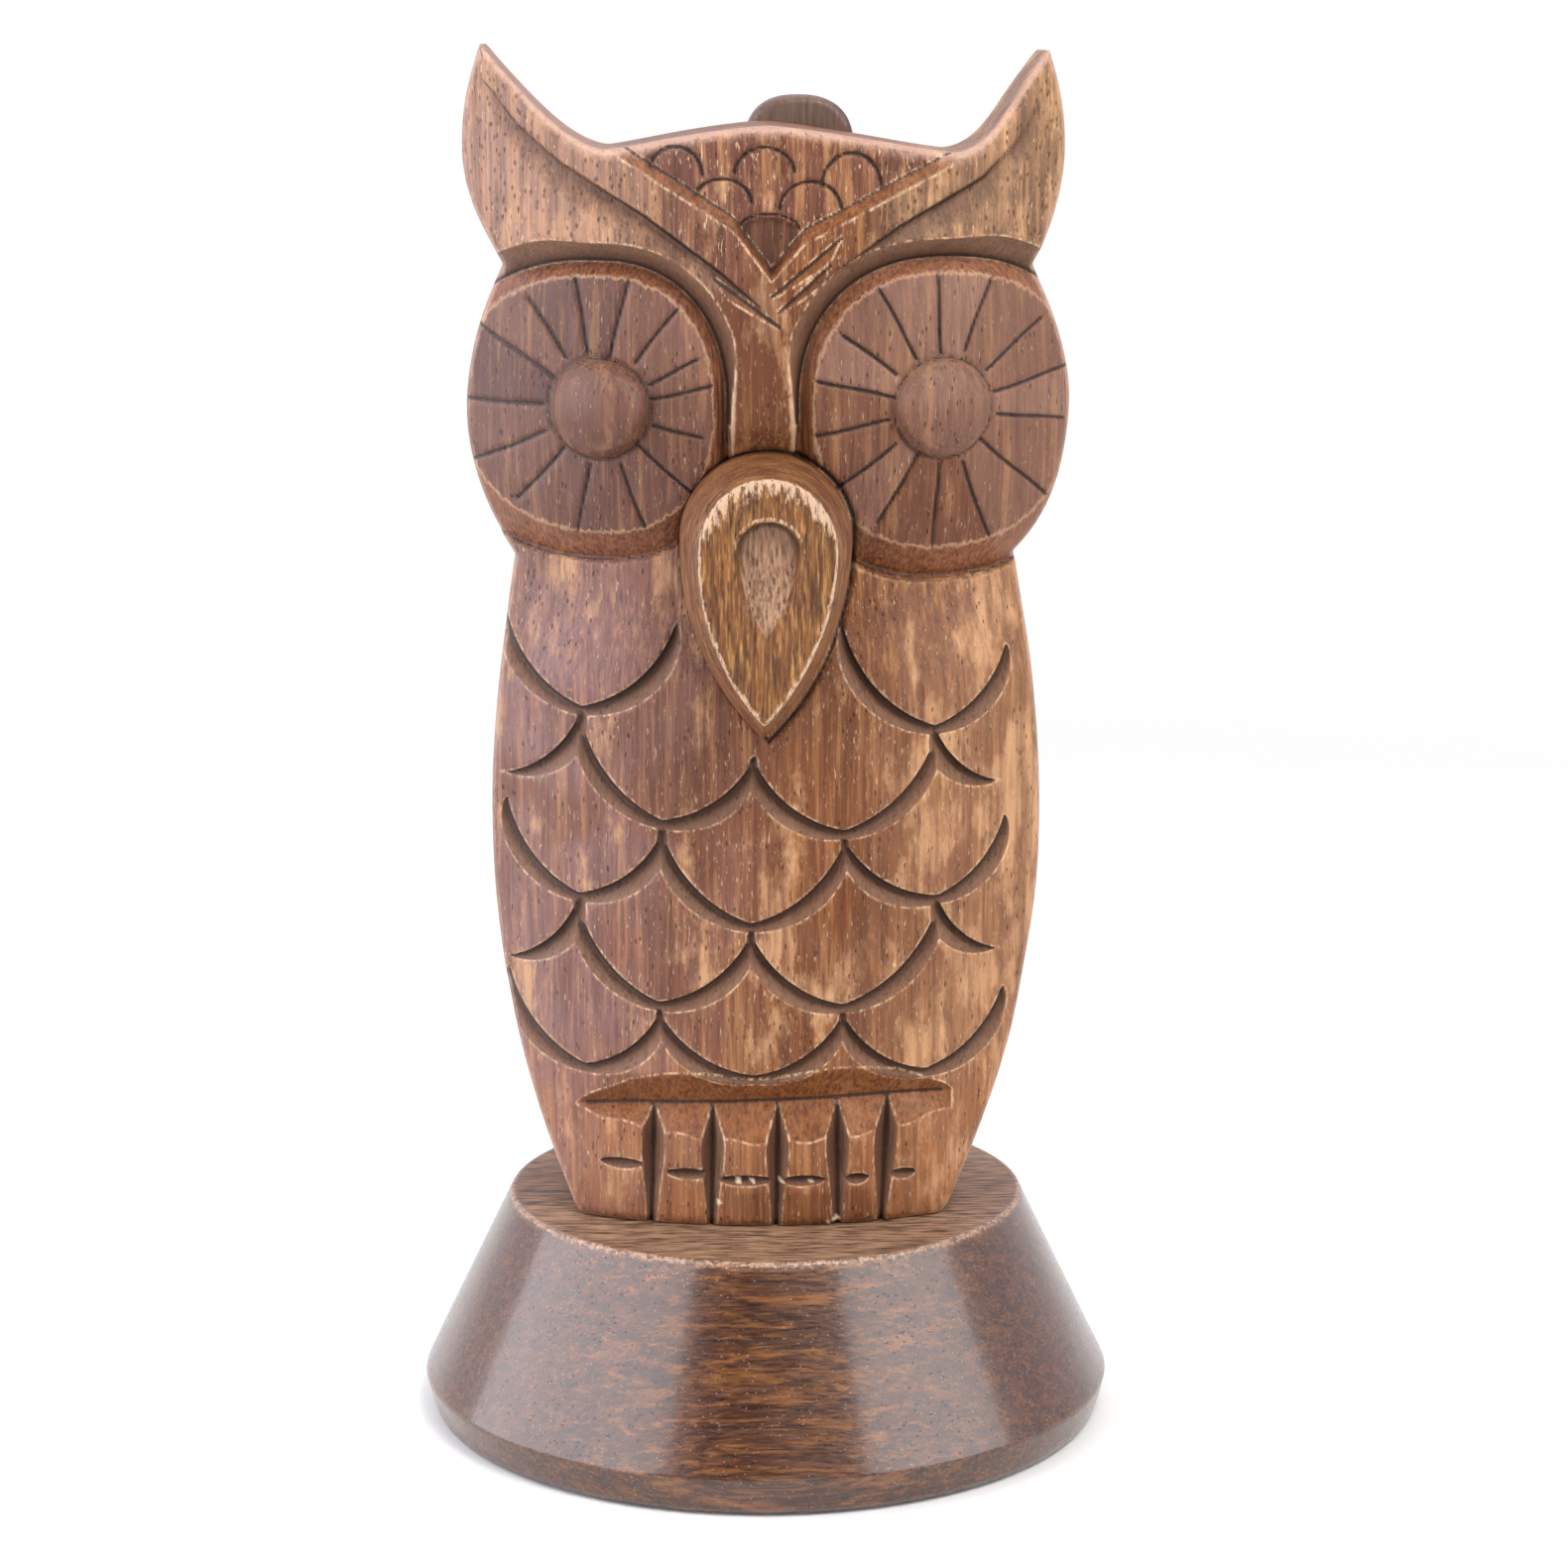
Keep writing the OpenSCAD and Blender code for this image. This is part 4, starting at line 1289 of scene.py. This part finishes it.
class BodyWood(Shader):
    """Stained and waxed body: dark pores, pale flecks, worn edges, hollows darkened with painted shade,
    and a painted sheen and highlights.
    """

    def __init__(self):
        super().__init__("body_wood")
        fibre = self.scaled((2.6, 2.6, 0.1), offset=(4, 4, 4), turn=(0, -0.06, 0))
        long = self.scaled((0.8, 0.8, 0.05), offset=(2, 7, 4), turn=(0, -0.05, 0))
        slanted = self.scaled((4.2, 4.2, 0.85), offset=(31, 6, 2), turn=(0, -0.2, 0))
        small = self.scaled((1.7, 1.7, 0.7), offset=(1, 2, 3))
        self.thin = self.noise(fibre, detail=3, rough=0.5)
        self.wide = self.noise(long, detail=5, rough=0.62, bend=0.3)
        self.ragged = self.noise(small, detail=5, rough=0.75)
        self.uneven = self.ragged.span(0.3, 0.7, -1.0, 1.0)
        self.flecks = self.noise(slanted, detail=3, rough=0.6).span(0.61, 0.67)
        self.pores = dashes(self, (1.6, 1.6, 0.5), 7.0, 0.18, 0.6, turn=(0, -0.15, 0))
        # where on the owl, in metres
        x, _, self.z = self.parts(self.coord)
        self.leftward = x.span(0.002, -0.024)
        self.rightward = x.span(0.009, 0.021)
        self.off_middle = abs(x - 0.003)
        for name in ("disc", "nose", "ear", "inside", "wall", "facet", "bend"):
            setattr(self, name, self.attribute(name))
        self.cut = (self.inside + self.uneven * 0.06).span(0.0, 0.1)
        # the belly, the discs and the nose have the calmest grain
        belly = self.z.span(0.1, 0.092)
        self.calm = self.nose.most(self.disc).most(belly * 0.6).span(0.0, 1.0, 1.0, 0.5)

    def region_tone(self):
        """The belly has a painted mauve sheen of the cool left light on its left, and is orange in the
        middle, tan on the right and red at the toes. The forehead is dusty red, the nose orange, and
        the ears tan, paler and pinker on the left with the same painted sheen."""
        clouds = self.noise(self.scaled((0.085, 0.085, 0.06)), detail=4, rough=0.6, bend=0.8)
        patches = self.scaled((0.13, 0.13, 0.08), offset=(9, 3, 5))
        warm = self.noise(patches, detail=5, rough=0.65, bend=0.5)
        middle = self.off_middle.span(0.015, 0.004)
        low = self.z.span(0.048, 0.038)
        # painted reflection: patches of mauve sheen from the cool left light over the left of the belly
        painted_lilac_sheen = clouds.span(0.38, 0.54, 0.45, 1.0) * self.leftward.span(0.0, 1.0, 0.1, 0.95)
        tone = self.mix(clouds.span(0.38, 0.6), srgb(98, 55, 25), srgb(114, 72, 46))
        tone = tone.layered(
            (warm.span(0.47, 0.6, 0.0, 0.9), srgb(102, 53, 20)),
            (middle * warm.span(0.4, 0.52, 0.3, 0.9), srgb(104, 58, 23)),
            (self.rightward * clouds.span(0.4, 0.56, 0.9, 0.4), srgb(136, 94, 64)),
            (painted_lilac_sheen, srgb(120, 86, 84)),
            (low * warm.span(0.42, 0.56, 0.4, 0.85), srgb(140, 88, 54)),
            (self.attribute("forehead") * 0.6, srgb(100, 60, 50)))
        # the discs change from sector to sector
        sector = self.attribute("sector")
        left_disc = self.mix(sector, srgb(60, 26, 13), srgb(90, 52, 36))
        right_disc = self.mix(sector, srgb(88, 50, 34), srgb(122, 90, 78))
        tone = tone.layered(
            (self.disc * 0.8, self.mix(self.leftward, right_disc, left_disc)),
            (self.nose * 0.75, srgb(92, 50, 26)))
        # the ears are paler and pinker on the left: the same painted sheen
        ear_tone = self.mix(self.leftward, srgb(118, 90, 68), srgb(152, 112, 90))
        return tone.tinted(self.ear * 0.7, ear_tone)

    def with_grain(self, tone):
        """Dark and pale streaks of two widths."""
        dark = tone.tinted(0.7, srgb(44, 20, 8))
        pale = tone.tinted(0.5, srgb(208, 154, 98))
        return tone.layered(
            (self.wide.span(0.36, 0.5, 0.65, 0.0) * self.calm, dark),
            (self.wide.span(0.53, 0.66, 0.0, 0.65) * self.calm, pale),
            (self.thin.span(0.36, 0.44, 0.6, 0.0) * self.calm, dark),
            (self.thin.span(0.57, 0.66, 0.0, 0.45) * self.calm, pale))

    def with_pale_patches(self, tone):
        """Pale patches, partly lighter wood and partly painted highlight, a little more often above the
        toes and down the right side.
        """
        blotch = self.noise(self.scaled((0.2, 0.2, 0.09), offset=(4, 1, 7)), detail=5, rough=0.7)
        above_toes = abs(self.z - 0.053).span(0.007, 0.001)
        patch_bias = (above_toes * self.off_middle.span(0.018, 0.008)).most(self.rightward)
        # pale patches: partly lighter wood, partly painted highlight
        pale_patch = (blotch + patch_bias.span(0.0, 1.0, 0.0, 0.1)).span(0.56, 0.67) * (1.0 - self.disc)
        return tone.tinted(pale_patch * self.wide.span(0.4, 0.58, 0.2, 0.65), srgb(196, 150, 110))

    def with_marks(self, tone):
        """Pale flecks, and dark pores that are largest on the ears."""
        tone = tone.layered(
            (self.flecks * self.calm * 0.6, srgb(226, 190, 152)),
            (self.pores * 0.7, srgb(44, 22, 12)))
        ear_pores = dashes(self, (1.3, 1.3, 0.8), 3.0, 0.3, 0.9)
        return tone.tinted(ear_pores * self.ear * 0.75, srgb(50, 28, 16))

    def with_bevels(self, tone):
        """The bevel round each disc is torn, and chipped where it meets the face."""
        outside = self.attribute("face") + self.uneven * 0.35
        streaky = self.mix(self.thin.span(0.35, 0.6), srgb(84, 42, 22), srgb(150, 90, 50))
        return tone.layered(
            (outside.span(-0.1, 0.3) * self.disc * 0.5, streaky),
            (abs(outside).span(0.0, 0.25, 0.4, 0.0) * self.disc, srgb(214, 172, 136)))

    def with_cuts(self, tone):
        """Gouged hollows and the coves under the lids are smoother and greyer, with painted shade
        darkest at the foot of their steep wall; the brow hollows and the forehead's pocket get painted
        shade too, and flat cuts have plain grain.
        """
        # painted shade: the floor of a cut is darkest at the foot of its steep wall and lighter towards
        # its far edge
        cut_floor_with_painted_shade = self.mix(self.wall.span(0.35, 1.7), srgb(74, 48, 36), srgb(116, 84, 64))
        cut_floor_with_painted_shade = cut_floor_with_painted_shade.tinted(self.thin.span(0.35, 0.6, 0.45, 0.0), srgb(70, 44, 32))
        facet = (self.facet + self.uneven * 0.1).span(0.0, 0.14)
        plain = self.mix(self.thin.span(0.35, 0.6), srgb(88, 46, 20), srgb(126, 76, 40))
        return tone.layered(
            (facet * 0.7, plain),
            # painted shade in the soft brow hollows, on the cut floors and in the forehead's pocket
            (self.attribute("soft") * 0.65, srgb(88, 60, 44)),
            (self.cut * 0.9, cut_floor_with_painted_shade),
            (self.attribute("pocket") * 0.55, srgb(58, 32, 20)))

    def with_edges(self, tone):
        """Edges are worn pale, and the rim has a painted highlight too; the incised lines are dark, and
        painted shade darkens the hollows and the foot of the walls.
        """
        uneven = self.uneven
        worn = (self.bend + uneven * 0.1).span(0.2, 0.36)
        lip = self.inside.span(-0.28, -0.06) * self.inside.span(0.0, 0.05, 1.0, 0.0)
        lip = lip * uneven.span(-0.25, 0.6) * (1.0 - self.disc)
        ridge = abs(self.facet + 0.12).span(0.06, 0.2, 1.0, 0.0)
        lip = lip.most(ridge * uneven.span(-0.2, 0.5))
        # the rim is pale from wear and from a painted highlight that is strongest where it faces up
        rim = (self.attribute("rim") + uneven * 0.2).span(0.3, 0.85)
        # painted shade in the hollows and at the foot of each cut's steep wall, laid with the dark
        # incised lines
        hollow = self.attribute("hollow").span(-0.6, -1.8, 0.0, 0.3)
        line = (self.attribute("line") + uneven * 0.04).span(0.14, 0.27, 0.85, 0.0)
        shade = self.cut * self.wall.span(0.22, 0.5, 0.85, 0.0)
        painted_shade_and_dark_lines = hollow.most(line).most(self.bend.span(-0.1, -0.3) * 0.4).most(shade)
        return tone.layered(
            (worn * 0.4, srgb(214, 176, 142)),
            (lip * 0.62, srgb(224, 188, 152)),
            (rim * 0.6, srgb(204, 168, 150)),
            (painted_shade_and_dark_lines, srgb(26, 14, 9)),
            (self.attribute("bead") * 0.75, srgb(216, 196, 166)))

    def finished(self):
        """The material, with every layer laid over the last."""
        tone = self.region_tone()
        for lay in (self.with_grain, self.with_pale_patches, self.with_marks, self.with_bevels,
                    self.with_cuts, self.with_edges):
            tone = lay(tone)
        rough = self.thin.span(0.3, 0.7, 0.36, 0.56) + self.cut * 0.15
        relief = self.thin * 0.6 - self.pores * 0.7 + self.ragged * 0.25 + self.flecks * 0.4
        shine = self.leftward.span(0.0, 1.0, 0.2, 0.36)
        return self.done(tone, rough, self.bump(relief, 0.2),
                         {"Coat Weight": 0.03, "Specular IOR Level": shine})


def beak_wood():
    """Straighter, yellower grain than the face, with a pale worn rim."""
    s = Shader("beak_wood")
    thin, wide = streaks(s, "z", 3.4, 11.0)
    patch = s.noise(s.scaled((0.3, 0.3, 0.2), offset=(6, 2, 6)), detail=4, rough=0.65)
    side, hollow, edge = (s.attribute(name) for name in ("side", "floor", "edge"))
    tone = s.mix(wide.span(0.35, 0.65), srgb(82, 46, 18), srgb(128, 82, 38))
    tone = tone.layered(
        (patch.span(0.5, 0.68, 0.0, 0.5), srgb(104, 58, 34)),
        (thin.span(0.28, 0.48, 0.9, 0.0), srgb(40, 20, 9)),
        (thin.span(0.52, 0.75, 0.0, 0.8), srgb(190, 144, 88)))
    # round the sides the knife left fine lines and redder patches
    x, _, z = s.parts(s.scaled((0.22, 0.22, 0.22)))
    bent = s.value("CombineXYZ", {0: x, 1: z, 2: s.attribute("ring") * 0.55})
    turned = s.noise(bent, detail=4, rough=0.7)
    side_tone = s.mix(turned.span(0.38, 0.58), srgb(84, 48, 22), srgb(136, 92, 54))
    side_tone = side_tone.tinted(patch.span(0.48, 0.6, 0.0, 0.7), srgb(98, 50, 30))
    side_tone = side_tone.tinted(thin.span(0.3, 0.45, 0.5, 0.0), srgb(50, 26, 14))
    tone = tone.tinted(side, side_tone)
    hollow_tone = s.mix(thin.span(0.36, 0.58), srgb(96, 66, 46), srgb(164, 128, 102))
    tone = tone.tinted(hollow * 0.8, hollow_tone)
    ragged = s.noise(s.scaled((2.4, 2.4, 0.6)), detail=5, rough=0.8)
    worn = (edge + ragged.span(0.35, 0.65, -0.75, 0.15)).span(0.3, 0.6)
    tone = tone.tinted(worn * 0.72, srgb(214, 180, 150))
    cracks = dashes(s, (2.6, 2.6, 0.45), 9.0, 0.34, 0.95)
    tone = tone.tinted(cracks * edge.span(0.1, 0.5) * 0.7, srgb(46, 24, 12))
    # the hollow has the fewest pores
    pores = dashes(s, (2.1, 2.1, 0.4), 4.0, 0.28, 0.8)
    tone = tone.layered(
        (pores * hollow.span(0.0, 1.0, 0.5, 0.25), srgb(40, 22, 13)),
        # painted shade at the beak's seat and in the corner of its hollow
        (edge.span(-0.35, -1.0, 0.0, 0.85), srgb(50, 27, 18)))
    relief = thin * 0.8 - pores + turned * side * 0.8
    return s.done(tone, thin.span(0.3, 0.7, 0.36, 0.52), s.bump(relief, 0.22),
                  {"Coat Weight": 0.06, "Specular IOR Level": 0.28})


def base_wood():
    """Dark lacquered base with its fibres from side to side."""
    s = Shader("base_wood")
    thin, wide = streaks(s, "x", 3.2, 7.0)
    broad = s.scaled((0.012, 0.11, 0.11), offset=(7, 0, 7))
    rings = s.noise(broad, scale=6.0, detail=3, bend=1.2)
    figure = s.noise(s.scaled((0.1, 0.6, 1.0), offset=(3, 3, 3)), detail=4, rough=0.6, bend=0.8)
    x, _, _ = s.parts(s.coord)
    curl = abs(x).span(0.024, 0.014, 0.2, 0.65)
    tone = s.mix(wide.span(0.35, 0.65), srgb(54, 27, 14), srgb(88, 50, 25))
    tone = tone.layered(
        (rings.span(0.42, 0.64, 0.0, 0.7), srgb(50, 24, 13)),
        (figure.span(0.5, 0.66) * curl, srgb(138, 86, 38)),
        (thin.span(0.34, 0.47, 0.65, 0.0), srgb(26, 12, 7)),
        (thin.span(0.54, 0.8, 0.0, 0.5), srgb(150, 100, 58)))
    pores = dashes(s, (0.7, 1.6, 1.6), 2.0, 0.18, 0.8, turn=(0, 0.3, 0))
    specks = dashes(s, (1.5, 1.9, 1.9), 5.0, 0.2, 0.6)
    tone = tone.layered(
        (specks * 0.3, srgb(206, 176, 150)),
        (pores * 0.75, srgb(24, 12, 8)))
    # the sawn top has less lacquer, so it is greyer and its grain is open
    top = s.attribute("top")
    sawn = s.mix(thin.span(0.4, 0.58), srgb(56, 38, 28), srgb(168, 132, 104))
    tone = tone.tinted(top * 0.8, sawn)
    ragged = s.noise(s.scaled((1.9, 1.9, 1.9)), detail=5, rough=0.8)
    worn = (s.attribute("edge") + ragged.span(0.3, 0.7, -1.0, 0.1)).span(0.4, 0.8)
    tone = tone.tinted(worn * 0.7, srgb(200, 164, 140))
    rough = thin.span(0.3, 0.7, 0.22, 0.36) + top * 0.25
    return s.done(tone, rough, s.bump(thin * 0.5 - pores, 0.08, 0.8),
                  {"Coat Weight": (1.0 - top) * 0.5, "Coat Roughness": 0.12})


def tab_wood():
    """Dull dark wood with pale scratches."""
    s = Shader("tab_wood")
    streak = s.noise(fibres(s, "z", 3.0, 2.0), detail=4, rough=0.7)
    scratch = s.noise(s.scaled((2.4, 2.4, 0.4), turn=(0, 0.6, 0)), detail=2)
    tone = s.mix(streak.span(0.3, 0.7), srgb(62, 42, 33), srgb(104, 76, 60))
    tone = tone.tinted(scratch.span(0.66, 0.72, 0.0, 0.5), srgb(150, 122, 100))
    return s.done(tone, 0.5, s.bump(streak, 0.1, 0.6), {"Coat Weight": 0.1})


def plain_wood():
    """Raw beech of the hidden dowels."""
    s = Shader("dowel_wood")
    streak = s.noise(s.scaled((3.0, 3.0, 0.4)), detail=4)
    tone = s.mix(streak, srgb(190, 152, 108), srgb(222, 190, 148))
    return s.done(tone, 0.6, s.bump(streak, 0.05, 0.5))


def screw_steel():
    """Steel with fine turning marks."""
    s = Shader("screw_steel")
    turned = s.noise(s.scaled((0.5, 0.5, 9.0)), detail=2)
    tone = s.mix(turned, srgb(150, 150, 152), srgb(196, 196, 198))
    return s.done(tone, turned.span(0.3, 0.7, 0.25, 0.4), s.bump(turned, 0.03, 0.4),
                  {"Metallic": 1.0})


def felt():
    """Black felt."""
    s = Shader("pad_felt")
    fuzz = s.noise(s.scaled((3.0, 3.0, 3.0)), detail=6, rough=0.8)
    tone = s.mix(fuzz, srgb(18, 18, 18), srgb(52, 50, 50))
    return s.done(tone, 0.95, s.bump(fuzz, 0.3))


# ---------------------------------------------------------------- the stand

finish_piece(carve_owl(), BodyWood().finished(), "owl_body")
finish_piece(carve_beak(), beak_wood(), "beak")
finish_piece(shape_tab(), tab_wood(), "rear_tab")
finish_piece(turn_base(), base_wood(), "base")

kept = {"felt_pad": felt(), "base_screw": screw_steel()}
kept["body_dowels"] = kept["beak_dowel"] = plain_wood()
for name, material in kept.items():
    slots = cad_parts[name].data.materials
    slots.clear()
    slots.append(material)

# ---------------------------------------------------------------- floor, light and camera

FLOOR_R = 40.0
FLOOR_CORNERS = 64
# distance from the stand, in metres, over which the floor fades to white
FADE = (0.06, 0.5)


def floor():
    """A wide pale floor that fades into the white behind it."""
    mesh = bpy.data.meshes.new("floor")
    angles = [2 * math.pi * k / FLOOR_CORNERS for k in range(FLOOR_CORNERS)]
    rim = [(FLOOR_R * math.cos(a), FLOOR_R * math.sin(a), 0) for a in angles]
    mesh.from_pydata(rim, [], [tuple(range(FLOOR_CORNERS))])
    plane = bpy.data.objects.new("floor", mesh)
    bpy.context.scene.collection.objects.link(plane)
    s = Shader("floor_paint")
    fleck = s.noise(s.scaled((0.05, 0.05, 0.05)), detail=2)
    tone = s.mix(fleck, (0.86, 0.86, 0.86, 1), (0.9, 0.9, 0.9, 1))
    paint = s.surface(tone, 0.7, s.bump(fleck, 0.01, 0.2))
    white = s.value("Emission", {"Strength": 1.0})
    away = s.vector("LENGTH", s.coord, output="Value")
    s.put(s.out.inputs[0], s.blend(away.span(*FADE), paint, white))
    mesh.materials.append(s.material)


def lamp(name, place, size, power, colour=(1, 1, 1)):
    """A soft box that faces the middle of the stand."""
    light = bpy.data.lights.new(name, "AREA")
    light.shape = "RECTANGLE"
    light.size, light.size_y = size
    light.energy = power
    light.color = colour
    box = bpy.data.objects.new(name, light)
    box.location = place
    box.rotation_euler = (Vector((0, 0, 0.08)) - Vector(place)).to_track_quat("-Z", "Y").to_euler()
    box.visible_camera = False
    bpy.context.scene.collection.objects.link(box)


TENT_GAP = (math.cos(math.radians(28)), math.cos(math.radians(38)))
GAP_LIGHT = 0.1
TENT_LIGHT = 1.0


def surroundings():
    """White to the camera, and a weak cool light on the wood. Polished wood mirrors a bright
    tent on both sides and a dark gap towards the camera."""
    world = bpy.data.worlds.new("studio")
    bpy.context.scene.world = world
    w = Nodes(world, "ShaderNodeOutputWorld", "Generated")
    level = w.vector("NORMALIZE", w.vector("MULTIPLY", w.coord, (1, 1, 0)))
    facing = w.vector("DOT_PRODUCT", level, (0, -1, 0), "Value")
    tent_light = facing.span(*TENT_GAP, GAP_LIGHT, TENT_LIGHT)
    light = w.value("Background", {"Color": (0.93, 0.95, 1.0, 1), "Strength": 0.25})
    tent = w.value("Background", {"Color": (0.94, 0.9, 1.0, 1), "Strength": tent_light})
    seen = w.value("Background", {"Color": (1, 1, 1, 1), "Strength": 1.0})
    mirrored = w.blend(w.value("LightPath", output="Is Glossy Ray"), light, tent)
    shown = w.blend(w.value("LightPath", output="Is Camera Ray"), mirrored, seen)
    w.put(w.out.inputs[0], shown)


CAMERA_AWAY = 0.4299
CAMERA_ASIDE = 0.00213
CAMERA_HEIGHT = 0.1578
CAMERA_TURN = math.radians(-1.7)
CAMERA_DOWN = math.radians(11.16)
SENSOR_W = 36.0
LENS = 88.372


def camera():
    """At the height of the ear tips, a long lens that looks down a little."""
    data = bpy.data.cameras.new("camera")
    data.sensor_width = SENSOR_W
    data.lens = LENS
    data.clip_start = 0.01
    place = bpy.data.objects.new("camera", data)
    sideways, forward = math.cos(CAMERA_TURN), math.sin(CAMERA_TURN)
    place.location = (CAMERA_ASIDE * sideways + CAMERA_AWAY * forward,
                      CAMERA_ASIDE * forward - CAMERA_AWAY * sideways, CAMERA_HEIGHT)
    place.rotation_euler = (math.pi / 2 - CAMERA_DOWN, 0, CAMERA_TURN)
    bpy.context.scene.collection.objects.link(place)
    bpy.context.scene.camera = place


floor()
surroundings()
lamp("left_box", (-0.50, -0.13, 0.28), (0.85, 0.6), 5.6, (0.93, 0.94, 1.0))
lamp("right_box", (0.50, -0.30, 0.36), (0.6, 0.5), 3.2)
lamp("key_box", (0.20, -0.50, 0.75), (0.3, 0.3), 4.0, (1.0, 0.97, 0.93))
lamp("front_box", (0.15, -1.3, 0.3), (0.5, 0.3), 1.5)
lamp("top_box", (0, 0.25, 1.0), (0.8, 0.6), 4)
camera()
bpy.context.scene.view_settings.view_transform = "Standard"
